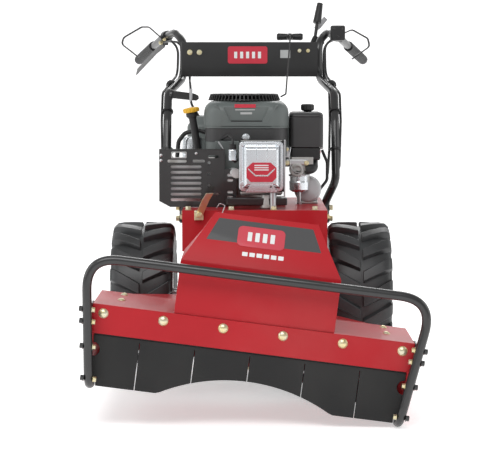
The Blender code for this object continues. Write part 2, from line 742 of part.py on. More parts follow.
flap = outline(flap_edge(), 5 * MM)
flap.rotation_euler = (pi / 2, 0, 0)
flap.location = (0, DECK_FRONT + 7 * MM, 0)
on_deck(flap, "front_flap", SHEET, flap_axis)
flap.data.transform(Matrix.Translation((0, -(DECK_FRONT + 7 * MM), ROLL_AXIS_Z - STRIP_BOTTOM + MM)))

# Blade belt: from the engine's lower pulley to the rolled blade pulley, twisting as it goes
far_centre = from_level((0, BLADE_Y, BLADE_BELT_Z))
near_centre = Vector((CRANK.x, CRANK.y, BLADE_BELT_Z))
blade_belt = belt_loop(near_centre, 48.5 * MM, far_centre, 72.5 * MM)
reach = (far_centre - near_centre).length
for vertex in blade_belt.data.vertices:
    share = min(max((CRANK.y - vertex.co.y) / reach, 0), 1)
    twist = Matrix.Rotation(DECK_ROLL * share, 4, "Y")
    middle = near_centre.lerp(far_centre, share)
    middle.y = vertex.co.y
    vertex.co = middle + twist @ (vertex.co - middle)
placed(blade_belt, "blade_belt", BELT)

# Idler: an arm on the platform's underside with a flat pulley that tightens the blade belt
IDLER_PIVOT = mm(104, -185, 372)
arm = fused(
    rod(mm(104, -185, 350), mm(104, -185, 461.6), 10 * MM, sides=16),
    box(mm(92, -268, 350), mm(116, -176, 357)),
    rod(mm(104, -258, 316), mm(104, -258, 352), 8 * MM, sides=16),
)
arm = placed(arm, "idler_arm", BLACK)
moved_origin(arm, IDLER_PIVOT)
idler_bore = scaled((8.3, 316), (8.3, 346))
idler_rim = scaled((34, 346), (34, 342), (30, 340), (30, 320), (34, 318), (34, 316))
placed(turned(idler_bore + idler_rim, mm(104, -258, 0), steps=24), "idler_pulley", STEEL)

# Handles: a bent tube each side from the platform up past the console to the grips
def outer_bend(sign):
    """Corner points of one handle tube; its foot stands off the platform's side by half its diameter."""
    foot = (PLATFORM_RIGHT if sign > 0 else -PLATFORM_LEFT) / MM + 12.5
    corners = (
        (foot, 95, 396), (foot, 95, 455), (245, 75, 520), (245, 130, 690), (245, 195, 772),
        (207, 388, 816), (205, 388, 924), (234, 450, 955), (276, 600, 946), (379, 965, 875),
    )
    return [mm(sign * x, y, z) for x, y, z in corners]


cable_arm_path = [mm(-241, 190, 768), mm(-170, 178, 762), mm(-158, 176, 760)]
cable_arm = strip(cable_arm_path, (0, 0.3, 1), 22 * MM, 4 * MM)
right_tube = tube(rounded_path(outer_bend(-1), 55 * MM, 3), HANDLE_RADIUS)
placed(fused(right_tube, cable_arm), "handle_tube_right", BLACK)
placed(tube(rounded_path(outer_bend(1), 55 * MM, 3), HANDLE_RADIUS), "handle_tube_left", BLACK)

console_fold = [(347, 922.5), (331.5, 922.5), (331.5, 850), (343, 820)]
bm = bmesh.new()
rows = [(bm.verts.new(mm(-211, y, z)), bm.verts.new(mm(201, y, z))) for y, z in console_fold]
for (a, b), (c, d) in zip(rows, rows[1:]):
    bm.faces.new((a, b, d, c))
console = from_bmesh(bm)
wall = console.modifiers.new("wall", "SOLIDIFY")
wall.thickness = 3 * MM
wall.offset = 0
wall.use_even_offset = True
placed(frozen(console), "console_panel", BLACK)

for side, sign in (("left", 1), ("right", -1)):
    bend = mm(sign * 276, 600, 946)
    end = mm(sign * 379, 965, 875)
    start = end.lerp(bend, 0.6)
    axis = (end - start).normalized()
    length = (end - start).length
    inner, outer = HANDLE_RADIUS + GAP, GRIP_RADIUS
    profile = [
        (inner, 0.0), (inner, length + GAP), (0.0, length + GAP), (0.0, length + 6 * MM),
        (outer - 3 * MM, length + 6 * MM), (outer, length), (outer, 0.0),
    ]
    placed(turned(profile, start, axis, 20), f"grip_{side}", DARK)

GUARD_Y = 560 * MM
guard_corners = {
    "left": [(287, 953), (318, 967), (368, 939), (374, 914), (318, 874)],
    "right": [(-280, 938), (-322, 975), (-345, 975), (-402, 942), (-409, 922), (-355, 880)],
}
for side, corners in guard_corners.items():
    route = rounded_path([Vector((x * MM, GUARD_Y, z * MM)) for x, z in corners], 14 * MM, 3)
    placed(strip(route, (0, 1, 0), 30 * MM, 4 * MM), f"hand_guard_{side}", BLACK)

# Controls at the grips and the console
BLADE_LEVER_PIVOT = mm(-272, 566, 922)
paddle_path = [BLADE_LEVER_PIVOT, mm(-300, 620, 902), mm(-375, 780, 834)]
paddle = strip(paddle_path, (0.25, -0.1, 1), 22 * MM, 4 * MM)
placed(moved_origin(paddle, BLADE_LEVER_PIVOT), "blade_lever", BLACK)
lever = fused(
    rod(mm(196, 452, 926), mm(205, 470, 990), 5 * MM, sides=12),
    rod(mm(204, 468, 985), mm(214, 486, 1046), 13 * MM, 9 * MM, sides=16),
)
placed(moved_origin(lever, mm(196, 452, 930)), "speed_lever", DARK)
THROTTLE_PIVOT = mm(202, 520, 968)
flat_path = [THROTTLE_PIVOT, mm(212, 522, 976), mm(234, 526, 1002)]
flat_lever = strip(flat_path, (0.7, 0, -0.7), 15 * MM, 3 * MM)
placed(moved_origin(flat_lever, THROTTLE_PIVOT), "throttle_lever", STEEL)
placed(box(mm(244, 396, 930), mm(288, 436, 976), 5 * MM, 2), "control_box", DARK)

rope_start = [mm(83, -80, 765), mm(97, -60, 772)]
rope_end = [mm(118, 322, 941), mm(118, 352, 944), mm(118, 366, 941)]
rope_path = rounded_path(rope_start + rope_end, 20 * MM, 3)
placed(tube(rope_path, 2.2 * MM), "starter_rope", BELT)
handle = fused(
    rod(mm(118, 368, 941), mm(118, 392, 941), 9 * MM, 12 * MM, sides=16),
    rod(mm(78, 394, 941), mm(158, 394, 941), 11 * MM, sides=16),
)
placed(moved_origin(handle, mm(118, 368, 941)), "starter_handle", DARK)

latch_path = [mm(-110, -368, 514), mm(-122, -364, 494), mm(-140, -356, 452)]
latch = strip(latch_path, (1, 0.2, 0), 20 * MM, 3 * MM)
placed(moved_origin(latch, mm(-140, -356, 452)), "deck_lock_latch", ZINC)
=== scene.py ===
"""A walk-behind brush mower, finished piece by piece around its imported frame.

Metres, +Z up. -Y is the front of the machine and +X is the operator's left.
"""

import json
from math import atan2, cos, pi, radians, sin, sqrt

import bpy
from mathutils import Matrix, Vector


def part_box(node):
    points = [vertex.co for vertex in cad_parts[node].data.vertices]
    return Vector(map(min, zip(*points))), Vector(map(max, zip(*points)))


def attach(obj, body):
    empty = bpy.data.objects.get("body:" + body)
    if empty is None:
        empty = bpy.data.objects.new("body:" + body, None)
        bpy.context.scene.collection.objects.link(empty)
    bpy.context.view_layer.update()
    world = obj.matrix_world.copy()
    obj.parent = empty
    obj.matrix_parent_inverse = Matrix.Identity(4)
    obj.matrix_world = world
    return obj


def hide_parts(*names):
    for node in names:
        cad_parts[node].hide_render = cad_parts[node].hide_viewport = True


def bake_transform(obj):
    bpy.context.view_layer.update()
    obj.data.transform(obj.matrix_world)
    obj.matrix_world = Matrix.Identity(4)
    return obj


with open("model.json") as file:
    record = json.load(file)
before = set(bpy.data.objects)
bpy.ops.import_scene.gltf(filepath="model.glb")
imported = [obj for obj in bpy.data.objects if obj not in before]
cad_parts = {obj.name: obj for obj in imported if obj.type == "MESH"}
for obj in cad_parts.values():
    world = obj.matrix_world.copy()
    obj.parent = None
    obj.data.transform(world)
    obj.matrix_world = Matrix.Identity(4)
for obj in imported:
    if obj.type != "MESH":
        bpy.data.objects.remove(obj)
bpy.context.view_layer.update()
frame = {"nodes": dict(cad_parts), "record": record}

# Studio: a long lens in front of the machine at chest height, looking five degrees down.
# A pale floor runs out to a white surround, with one large soft light high in front and two fills.
lens = bpy.data.cameras.new("long_lens")
lens.lens = 126
camera = bpy.data.objects.new("camera", lens)
camera.location = (-0.0037, -4.993, 0.834)
camera.rotation_euler = (radians(85), 0, 0)
bpy.context.scene.collection.objects.link(camera)
bpy.context.scene.camera = camera
bpy.context.scene.view_settings.view_transform = "Standard"

surround = bpy.data.worlds.new("white_surround")
surround.use_nodes = True
sky = surround.node_tree.nodes["Background"]
sky.inputs["Color"].default_value = (1, 1, 1, 1)
sky.inputs["Strength"].default_value = 0.45
bpy.context.scene.world = surround


def softbox(name, place, aim, width, height, power):
    """A rectangular light that faces the point it is aimed at."""
    lamp = bpy.data.lights.new(name, "AREA")
    lamp.shape = "RECTANGLE"
    lamp.size = width
    lamp.size_y = height
    lamp.energy = power
    light = bpy.data.objects.new(name, lamp)
    light.location = place
    light.rotation_euler = (Vector(aim) - Vector(place)).to_track_quat("-Z", "Y").to_euler()
    bpy.context.scene.collection.objects.link(light)


softbox("high_front", (-0.8, -3.4, 3.6), (0, -0.4, 0.4), 3.2, 2.0, 95)
softbox("left_fill", (-3.6, -1.2, 1.9), (0, -0.2, 0.5), 1.6, 2.4, 34)
softbox("right_fill", (3.8, -0.6, 1.7), (0, 0, 0.5), 1.4, 2.4, 26)
softbox("behind", (0.4, 3.8, 3.0), (0, 0.3, 0.5), 3.0, 1.4, 60)

bpy.ops.mesh.primitive_circle_add(vertices=64, radius=24, fill_type="NGON")
floor = bpy.context.active_object
floor.name = "studio_floor"
pale = bpy.data.materials.new("studio_pale")
pale.use_nodes = True
paper = {"Base Color": (0.9, 0.9, 0.9, 1), "Roughness": 0.8}
glow = {"Emission Color": (1, 1, 1, 1), "Emission Strength": 0.5}
for socket, value in (paper | glow).items():
    pale.node_tree.nodes["Principled BSDF"].inputs[socket].default_value = value
floor.data.materials.append(pale)
bpy.ops.mesh.primitive_plane_add(size=60, location=(0, 23, 0), rotation=(pi / 2, 0, 0))
backdrop = bpy.context.active_object
backdrop.name = "studio_backdrop"
backdrop.data.materials.append(pale)

# ---- Engine platform ----
# The red plate that carries the engine, bent from 4 mm steel with its side and cross plates welded on.
# It is enamelled, and each bend keeps a rounded edge that catches the light.
MM = 0.001
BODY_OF = {node: body for body, nodes in frame["record"]["behaviour"]["bodies"].items() for node in nodes}
SLOT_OF = {row["node"]: row["material_slot"] for row in frame["record"]["subparts"]}


def mm(*values):
    """A place given in millimetres."""
    return Vector(values) * MM


class Value:
    """A shader socket that is added to, multiplied and compared as a number is."""

    def __init__(self, finish, socket):
        self.finish = finish
        self.socket = socket

    def maths(self, operation, first, second):
        return self.finish.node("ShaderNodeMath", {"operation": operation}, {0: first, 1: second})

    def __add__(self, other):
        return self.maths("ADD", self, other)

    def __radd__(self, other):
        return self.maths("ADD", other, self)

    def __sub__(self, other):
        return self.maths("SUBTRACT", self, other)

    def __rsub__(self, other):
        return self.maths("SUBTRACT", other, self)

    def __mul__(self, other):
        return self.maths("MULTIPLY", self, other)

    def __rmul__(self, other):
        return self.maths("MULTIPLY", other, self)

    def __gt__(self, other):
        return self.maths("GREATER_THAN", self, other)

    def __lt__(self, other):
        return self.maths("LESS_THAN", self, other)


class Finish:
    """One finish of the machine: a material with a few fixed settings and the pattern that varies over it."""

    def __init__(self, name, fixed):
        self.material = bpy.data.materials.new(name)
        self.material.use_nodes = True
        self.tree = self.material.node_tree
        self.shader = self.tree.nodes["Principled BSDF"]
        for socket, value in fixed.items():
            self.shader.inputs[socket].default_value = value
        self.place = self.node("ShaderNodeTexCoord", {}, {}, "Object")

    def node(self, kind, settings, sockets, output=0):
        """Adds a node: its settings first, then the values or links of its sockets."""
        made = self.tree.nodes.new(kind)
        for setting, value in settings.items():
            if setting == "stops":
                while len(made.color_ramp.elements) < len(value):
                    made.color_ramp.elements.new(0.5)
                for stop, (position, level) in zip(made.color_ramp.elements, value):
                    stop.position = position
                    stop.color = (level, level, level, 1)
            else:
                setattr(made, setting, value)
        for socket, value in sockets.items():
            if isinstance(value, Value):
                self.tree.links.new(value.socket, made.inputs[socket])
            else:
                made.inputs[socket].default_value = value
        return Value(self, made.outputs[output])

    def noise(self, scale, detail=2.0, place=None):
        """Soft blotches, from 0 to 1, this many to the metre."""
        sockets = {"Vector": place or self.place, "Scale": scale, "Detail": detail}
        return self.node("ShaderNodeTexNoise", {}, sockets)

    def stretched(self, *scale):
        """The place on the piece, drawn out along its axes."""
        return self.node("ShaderNodeMapping", {}, {"Vector": self.place, "Scale": scale})

    def ramp(self, value, *stops):
        return self.node("ShaderNodeValToRGB", {"stops": stops}, {"Fac": value})

    def mix(self, share, first, second):
        """A colour between two, by a share from 0 to 1."""
        colours = [(*c, 1) if isinstance(c, tuple) else c for c in (first, second)]
        sockets = {0: share, 6: colours[0], 7: colours[1]}
        return self.node("ShaderNodeMix", {"data_type": "RGBA"}, sockets, 2)

    def edges(self, start=0.52, end=0.6):
        """1 along the outer edges of a piece, 0 on its flats."""
        worn = self.node("ShaderNodeNewGeometry", {}, {}, "Pointiness")
        return self.ramp(worn, (start, 0.0), (end, 1.0))

    def feed(self, **varying):
        """Joins what varies over the surface to the shader."""
        for socket, value in varying.items():
            self.tree.links.new(value.socket, self.shader.inputs[socket.replace("_", " ")])

    def bump(self, height, depth, strength=1.0):
        """Raises the surface by a height from 0 to 1, this many metres deep."""
        sockets = {"Height": height, "Distance": depth, "Strength": strength}
        self.feed(Normal=self.node("ShaderNodeBump", {}, sockets))


def red_enamel():
    """Baked enamel over pressed steel: faint orange peel under a thin clear coat, and a trace of dust."""
    paint = Finish("red_enamel", {"Coat Weight": 0.12, "Coat Roughness": 0.08, "Specular IOR Level": 0.12})
    cloud = paint.noise(7.0, 3.0)
    speck = paint.noise(900.0, 1.0)
    red = paint.mix(cloud, (0.37, 0.012, 0.018), (0.45, 0.017, 0.024))
    dust = paint.ramp(paint.noise(4.0, 5.0), (0.5, 0.0), (0.8, 0.12))
    paint.feed(Base_Color=paint.mix(dust, red, (0.5, 0.2, 0.18)), Roughness=0.3 + cloud * 0.12 + speck * 0.05)
    paint.bump(paint.noise(240.0, 2.0), 0.00035, 0.35)
    return paint.material


ENAMEL = red_enamel()


def only(piece):
    """Selects one piece and nothing else."""
    bpy.ops.object.select_all(action="DESELECT")
    bpy.context.view_layer.objects.active = piece
    piece.select_set(True)


def applied(piece, kind, **settings):
    """Adds one modifier to a piece and applies it."""
    only(piece)
    step = piece.modifiers.new(kind.lower(), kind)
    for setting, value in settings.items():
        setattr(step, setting, value)
    bpy.ops.object.modifier_apply(modifier=step.name)


def rounded(piece, width, segments=3, sharper_than=32):
    """Rounds a piece's sharp edges and shades it so that its flats stay flat."""
    angle = radians(sharper_than)
    if width:
        applied(piece, "BEVEL", width=width, segments=segments, limit_method="ANGLE", angle_limit=angle)
    only(piece)
    bpy.ops.object.shade_smooth_by_angle(angle=radians(38))
    applied(piece, "WEIGHTED_NORMAL", keep_sharp=True)
    return piece


def settled(piece, name, material, slot, body, *nodes):
    """Names and finishes a piece, hangs it on its body and lets it stand for any nodes it replaces."""
    piece.name = name
    piece.data.name = name
    if not piece.data.materials:
        piece.data.materials.append(material)
    if nodes:
        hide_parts(*nodes)
    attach(piece, body)
    return piece


def copied(node):
    """A welded copy of a node's mesh, with its flat faces made whole again."""
    piece = bpy.data.objects.new(node, frame["nodes"][node].data.copy())
    piece.data.materials.clear()
    bpy.context.scene.collection.objects.link(piece)
    only(piece)
    bpy.ops.object.mode_set(mode="EDIT")
    bpy.ops.mesh.select_all(action="SELECT")
    bpy.ops.mesh.remove_doubles(threshold=0.00002)
    bpy.ops.mesh.customdata_custom_splitnormals_clear()
    bpy.ops.mesh.dissolve_limited(angle_limit=radians(1))
    bpy.ops.object.mode_set(mode="OBJECT")
    return piece


def refined(node, material, width, segments=3, sharper_than=32):
    """Stands in for a node whose shape is right, with its edges rounded."""
    piece = rounded(copied(node), width, segments, sharper_than)
    return settled(piece, f"{node}_finished", material, SLOT_OF[node], BODY_OF[node], node)


refined("engine_platform", ENAMEL, 2.4 * MM)

# ---- Hex and carriage bolts ----
# Yellow-zinc hardware: a six-sided head on a washer, or a low dome on a round skirt.
# Each kind is made once, one metre across, and copied to where it is screwed in.


def yellow_zinc():
    """Yellow chromate over zinc, with its faint rainbow and a few dull spots."""
    plating = Finish("yellow_zinc", {})
    cloud = plating.noise(60.0, 2.0)
    warm = plating.mix(plating.ramp(cloud, (0.35, 0.0), (0.65, 1.0)), (0.72, 0.62, 0.33), (0.68, 0.66, 0.50))
    tint = plating.mix(plating.ramp(plating.noise(130.0), (0.55, 0.0), (0.75, 0.6)), warm, (0.75, 0.52, 0.36))
    plating.feed(Base_Color=tint, Roughness=0.24 + cloud * 0.2, Metallic=0.8 + cloud * 0.15)
    plating.bump(plating.noise(1500.0), 0.0001, 0.3)
    return plating.material


def bright_steel():
    """Turned or rolled bare steel: fine lines, with oil marks that dull it in places."""
    steel = Finish("bright_steel", {"Metallic": 1.0})
    lines = steel.noise(400.0, 3.0, steel.stretched(1, 0.12, 0.12))
    cloud = steel.noise(22.0, 3.0)
    grey = steel.mix(cloud, (0.42, 0.42, 0.43), (0.62, 0.62, 0.63))
    steel.feed(Base_Color=grey, Roughness=0.2 + lines * 0.14 + cloud * 0.12)
    steel.bump(lines, 0.0001, 0.25)
    return steel.material


def blackened():
    """Black zinc on screws and clips: satin, with a brown cast and bright corners."""
    plating = Finish("black_zinc", {})
    cloud = plating.noise(90.0)
    black = plating.mix(cloud, (0.018, 0.018, 0.02), (0.05, 0.045, 0.042))
    corners = plating.mix(plating.edges() * 0.4, black, (0.3, 0.3, 0.3))
    plating.feed(Base_Color=corners, Roughness=0.32 + cloud * 0.2, Metallic=0.3 + cloud * 0.4)
    return plating.material


ZINC = yellow_zinc()
STEEL = bright_steel()
BLACK_ZINC = blackened()


def block(low, high):
    """A block between two corners, in place."""
    low, high = Vector(low), Vector(high)
    bpy.ops.object.select_all(action="DESELECT")
    bpy.ops.mesh.primitive_cube_add(size=1, location=(low + high) / 2)
    piece = bpy.context.active_object
    piece.scale = high - low
    bpy.ops.object.transform_apply()
    return piece


def rod(start, end, radius, end_radius=None, sides=24):
    """A round bar or taper from one point to another, in place."""
    start, end = Vector(start), Vector(end)
    bpy.ops.object.select_all(action="DESELECT")
    bpy.ops.mesh.primitive_cone_add(
        vertices=sides,
        radius1=radius,
        radius2=radius if end_radius is None else end_radius,
        depth=(end - start).length,
        location=(start + end) / 2,
        rotation=(end - start).to_track_quat("Z", "Y").to_euler(),
    )
    bpy.ops.object.transform_apply()
    return bpy.context.active_object


def joined(first, *others):
    """Several shapes as one piece."""
    only(first)
    for other in others:
        other.select_set(True)
    bpy.ops.object.join()
    return first


def picked(piece, kind, test):
    """Opens a piece for editing with only the faces, edges or points that pass a test selected."""
    only(piece)
    bpy.ops.object.mode_set(mode="EDIT")
    bpy.ops.mesh.select_mode(type=kind)
    bpy.ops.mesh.select_all(action="DESELECT")
    bpy.ops.object.mode_set(mode="OBJECT")
    mesh = piece.data
    for item in {"VERT": mesh.vertices, "EDGE": mesh.edges, "FACE": mesh.polygons}[kind]:
        item.select = bool(test(item))
    bpy.ops.object.mode_set(mode="EDIT")


def closed_up():
    """Ends an edit: merges doubles, turns the faces outwards and goes back to the whole piece."""
    bpy.ops.mesh.select_all(action="SELECT")
    bpy.ops.mesh.remove_doubles(threshold=0.00001)
    bpy.ops.mesh.normals_make_consistent(inside=False)
    bpy.ops.object.mode_set(mode="OBJECT")


def turned(profile, centre=(0, 0, 0), axis=(0, 0, 1), steps=32):
    """A closed outline of (radius, height) points, spun about an axis through a centre."""
    bpy.ops.object.select_all(action="DESELECT")
    bpy.ops.mesh.primitive_circle_add(vertices=len(profile), radius=1)
    piece = bpy.context.active_object
    for vertex, (radius, height) in zip(piece.data.vertices, profile):
        vertex.co = (radius, 0, height)
    bpy.ops.object.mode_set(mode="EDIT")
    bpy.ops.mesh.select_all(action="SELECT")
    bpy.ops.mesh.spin(steps=steps, angle=2 * pi, center=(0, 0, 0), axis=(0, 0, 1))
    closed_up()
    piece.rotation_euler = Vector(axis).to_track_quat("Z", "Y").to_euler()
    piece.location = centre
    only(piece)
    bpy.ops.object.transform_apply()
    return piece


def arc(centre, radius, start, end, steps):
    """Points along part of a circle in a plane, from one angle to another in degrees."""
    turns = [radians(start + (end - start) * i / steps) for i in range(steps + 1)]
    return [(centre[0] + radius * cos(t), centre[1] + radius * sin(t)) for t in turns]


def hex_head():
    """A washer and a six-sided head whose top is turned down to a chamfer."""
    washer = rounded(rod((0, 0, 0), (0, 0, 0.1), 0.62, sides=28), 0.03, 1)
    head = rod((0, 0, 0.09), (0, 0, 0.62), 0.52, 0.52, sides=6)
    picked(head, "FACE", lambda face: face.normal.z > 0.9)
    bpy.ops.mesh.inset(thickness=0.08)
    bpy.ops.transform.translate(value=(0, 0, 0.05))
    bpy.ops.object.mode_set(mode="OBJECT")
    return joined(washer, rounded(head, 0.025, 2, 20))


def dome_head():
    """The low dome of a carriage bolt on a thin skirt."""
    crown = arc((0, -0.35), 0.66, 90, 32, 7)
    return rounded(turned([(0, 0), (0.54, 0), (0.56, 0.02)] + crown[::-1], steps=28), 0)


BOLT_HEADS = {}
for kind, made in (("hex", hex_head()), ("dome", dome_head())):
    BOLT_HEADS[kind] = made.data.copy()
    bpy.data.objects.remove(made)


def bolt(name, kind, place, direction, across, body, material=ZINC, slot="yellow_zinc", tilt=Matrix()):
    """A copy of one kind of head, this wide, seated at a place and facing a direction."""
    turn = Vector(direction).to_track_quat("Z", "Y").to_matrix().to_4x4()
    mesh = BOLT_HEADS[kind].copy()
    mesh.transform(tilt @ Matrix.Translation(place) @ turn @ Matrix.Scale(across, 4))
    piece = bpy.data.objects.new(name, mesh)
    bpy.context.scene.collection.objects.link(piece)
    return settled(piece, name, material, slot, body)


low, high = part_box("engine_platform")
for i, x in enumerate((-169, -54, 60, 170)):
    bolt(f"platform_bolt_{i + 1}", "hex", (x * MM, low.y + 16 * MM, high.z), (0, 0, 1), 15 * MM, "chassis")
for i, y in enumerate((-250, -130, 20, 120)):
    for side, x, out in (("right", low.x, -1), ("left", high.x, 1)):
        place = (x, y * MM, high.z - 24 * MM)
        bolt(f"platform_side_bolt_{side}_{i + 1}", "hex", place, (out, 0, 0), 14 * MM, "chassis")

# ---- Deck pivot, transaxle and belt drive ----
# Under the platform: a welded pivot tube, the cast transaxle with its input pulley, and two V-belts.
# Castings are left rough, pulleys are turned bright and the belts are fabric-faced rubber.


def satin_black():
    """Powder coat on brackets and panels: a fine pebble under a clear gloss, with a little dust."""
    coat = Finish("satin_black_coat", {"Coat Weight": 0.5, "Coat Roughness": 0.08})
    cloud = coat.noise(9.0, 3.0)
    black = coat.mix(cloud, (0.006, 0.006, 0.0065), (0.012, 0.012, 0.0125))
    dusty = coat.mix(coat.ramp(coat.noise(6.0, 4.0), (0.5, 0.0), (0.8, 0.2)), black, (0.05, 0.05, 0.05))
    coat.feed(Base_Color=dusty, Roughness=0.34 + cloud * 0.14)
    coat.bump(coat.noise(520.0, 2.0), 0.00015, 0.2)
    return coat.material


def cast_aluminium():
    """Sand-cast aluminium: a grainy grey skin with darker hollows and oil in places."""
    cast = Finish("cast_aluminium", {})
    grain = cast.noise(420.0, 3.0)
    cloud = cast.noise(18.0, 3.0)
    grey = cast.mix(cloud, (0.36, 0.36, 0.35), (0.56, 0.56, 0.54))
    stained = cast.mix(cast.ramp(cast.noise(45.0, 4.0), (0.52, 0.0), (0.72, 0.55)), grey, (0.2, 0.18, 0.16))
    cast.feed(Base_Color=stained, Roughness=0.42 + grain * 0.2, Metallic=0.55 + cloud * 0.3)
    cast.bump(grain, 0.0004, 0.6)
    return cast.material


def belt_rubber():
    """Belt cover: black rubber printed with the weave of its wrapping."""
    rubber = Finish("belt_rubber", {"Specular IOR Level": 0.3})
    turn = rubber.node("ShaderNodeMapping", {}, {"Vector": rubber.place, "Rotation": (0, 0, pi / 4)})
    bands = {"Vector": turn, "Scale": 300.0, "Distortion": 0.5}
    across = rubber.node("ShaderNodeTexWave", {"wave_type": "BANDS"}, bands, "Fac")
    weave = across * rubber.noise(700.0)
    black = rubber.mix(weave, (0.012, 0.012, 0.012), (0.05, 0.05, 0.05))
    rubber.feed(Base_Color=black, Roughness=0.7 + weave * 0.2)
    rubber.bump(weave, 0.0003, 0.5)
    return rubber.material


SATIN = satin_black()
CAST = cast_aluminium()
BELT = belt_rubber()

refined("pivot_housing", SATIN, 1.2 * MM)
refined("transaxle", CAST, 3 * MM, sharper_than=50)
for node in ("traction_belt", "blade_belt"):
    refined(node, BELT, 0.8 * MM, 2)
for node in ("transaxle_pulley", "engine_pulley", "idler_pulley", "crankshaft"):
    refined(node, STEEL, 0.5 * MM, 2)
refined("idler_arm", BLACK_ZINC, 1.2 * MM, 2)
for i, (y, z) in enumerate(((-52, 168), (66, 168), (66, 240), (-52, 240))):
    for side, x, out in (("right", -62, -1), ("left", 62, 1)):
        bolt(f"transaxle_bolt_{side}_{i + 1}", "hex", mm(x, y, z), (out, 0, 0), 11 * MM, "chassis")

# ---- Wheels ----
# Pressed steel rims held by five nuts, on keyed shafts from the transaxle.
# The tyres' deep bars run from each shoulder to the middle, one side half a pitch from the other.


def wheel_rim_paint():
    """Grey-white baked paint on the rims, chipped at its edges."""
    paint = Finish("wheel_rim_paint", {"Coat Weight": 0.25, "Coat Roughness": 0.25})
    cloud = paint.noise(16.0, 3.0)
    pale = paint.mix(cloud, (0.5, 0.5, 0.49), (0.62, 0.62, 0.61))
    chipped = paint.mix(paint.edges(0.54, 0.7) * cloud * 0.7, pale, (0.25, 0.22, 0.2))
    paint.feed(Base_Color=chipped, Roughness=0.32 + cloud * 0.16)
    paint.bump(paint.noise(200.0), 0.0003, 0.3)
    return paint.material


def tyre_rubber():
    """Moulded tyre rubber: blue-black with a waxy bloom, fine scuffs and dust low on the sidewall."""
    rubber = Finish("tyre_rubber", {"Coat Roughness": 0.3, "IOR": 1.52})
    bloom = rubber.noise(11.0, 4.0)
    scuff = rubber.noise(260.0, 3.0)
    waxy = rubber.ramp(bloom, (0.35, 0.0), (0.7, 1.0))
    black = rubber.mix(waxy, (0.010, 0.011, 0.012), (0.026, 0.030, 0.033))
    dusty = rubber.mix(scuff * bloom * 0.25, black, (0.10, 0.097, 0.09))
    rubber.feed(Base_Color=dusty, Roughness=0.36 + bloom * 0.22, Coat_Weight=bloom * 0.35)
    rubber.bump(scuff, 0.0004, 0.5)
    return rubber.material


RIM = wheel_rim_paint()
RUBBER = tyre_rubber()
BARS = 18
CROWN = 203 * MM
HALF_TYRE = 87.5 * MM


def in_mm(outline):
    """An outline or profile given in millimetres."""
    return [(across * MM, along * MM) for across, along in outline]


def carcass_outline():
    """Section of the tyre from bead to bead: a rounded crown, square shoulders and a bulged sidewall."""
    half = [(102, 70), (112, 73), (124, 80)]
    half += [(138, 85), (152, 87), (164, 86.5), (174, 83), (181, 76), (186, 62), (189, 34)]
    inner = [(176, 40), (174, 66), (160, 77), (130, 74), (110, 62), (102, 60)]
    outer = half + [(190, 0)] + [(r, -v) for r, v in reversed(half)]
    lining = [(r, -v) for r, v in reversed(inner)] + [(r, v) for r, v in inner]
    return in_mm(outer + lining)


def bar(side, turn):
    """One tread bar: a block drawn out from the crown over the shoulder and down the sidewall."""
    lie = [(4, 203), (30, 203), (58, 202), (76, 199), (85, 190), (87.5, 176), (87.2, 160)]
    piece = block((0, -0.5, 0), (len(lie) - 1, 0.5, 1))
    for cut in range(1, len(lie) - 1):
        only(piece)
        bpy.ops.object.mode_set(mode="EDIT")
        bpy.ops.mesh.select_all(action="SELECT")
        bpy.ops.mesh.bisect(plane_co=(cut, 0, 0), plane_no=(1, 0, 0))
        bpy.ops.object.mode_set(mode="OBJECT")
    for vertex in piece.data.vertices:
        along, across, height = vertex.co
        offset, radius = lie[round(along)]
        share = min(offset * MM / HALF_TYRE, 1)
        spread = (13 + 5 * share + 9 * (1 - height)) * MM
        sweep = (24 - offset * 0.55) * MM + across * spread * 2
        reach = radius * MM - (1 - height) * 22 * MM
        inward = (1 - height) * (12 * MM if along > 3 else 0)
        angle = turn + sweep / CROWN
        place = side * (offset * MM - inward)
        vertex.co = (reach * cos(angle), reach * sin(angle), place)
    only(piece)
    bpy.ops.object.mode_set(mode="EDIT")
    closed_up()
    applied(piece, "BEVEL", width=2.2 * MM, segments=2, limit_method="ANGLE", angle_limit=radians(40))
    return piece


def tyre():
    """A carcass with its bars, about an axle along Z at the origin."""
    carcass = turned(carcass_outline(), steps=72)
    bars = []
    for side in (1, -1):
        first = bar(side, 0 if side == 1 else pi / BARS)
        bars.append(first)
        for i in range(1, BARS):
            mesh = first.data.copy()
            mesh.transform(Matrix.Rotation(2 * pi * i / BARS, 4, "Z"))
            copy = bpy.data.objects.new("bar", mesh)
            bpy.context.scene.collection.objects.link(copy)
            bars.append(copy)
    rings = []
    for side in (1, -1):
        for radius in (128, 142):
            ring = arc((radius * MM, side * (78 if radius < 130 else 85.2) * MM), 1.2 * MM, 0, 315, 7)
            rings.append(turned(ring, steps=72))
    return rounded(joined(carcass, *bars, *rings), 0)


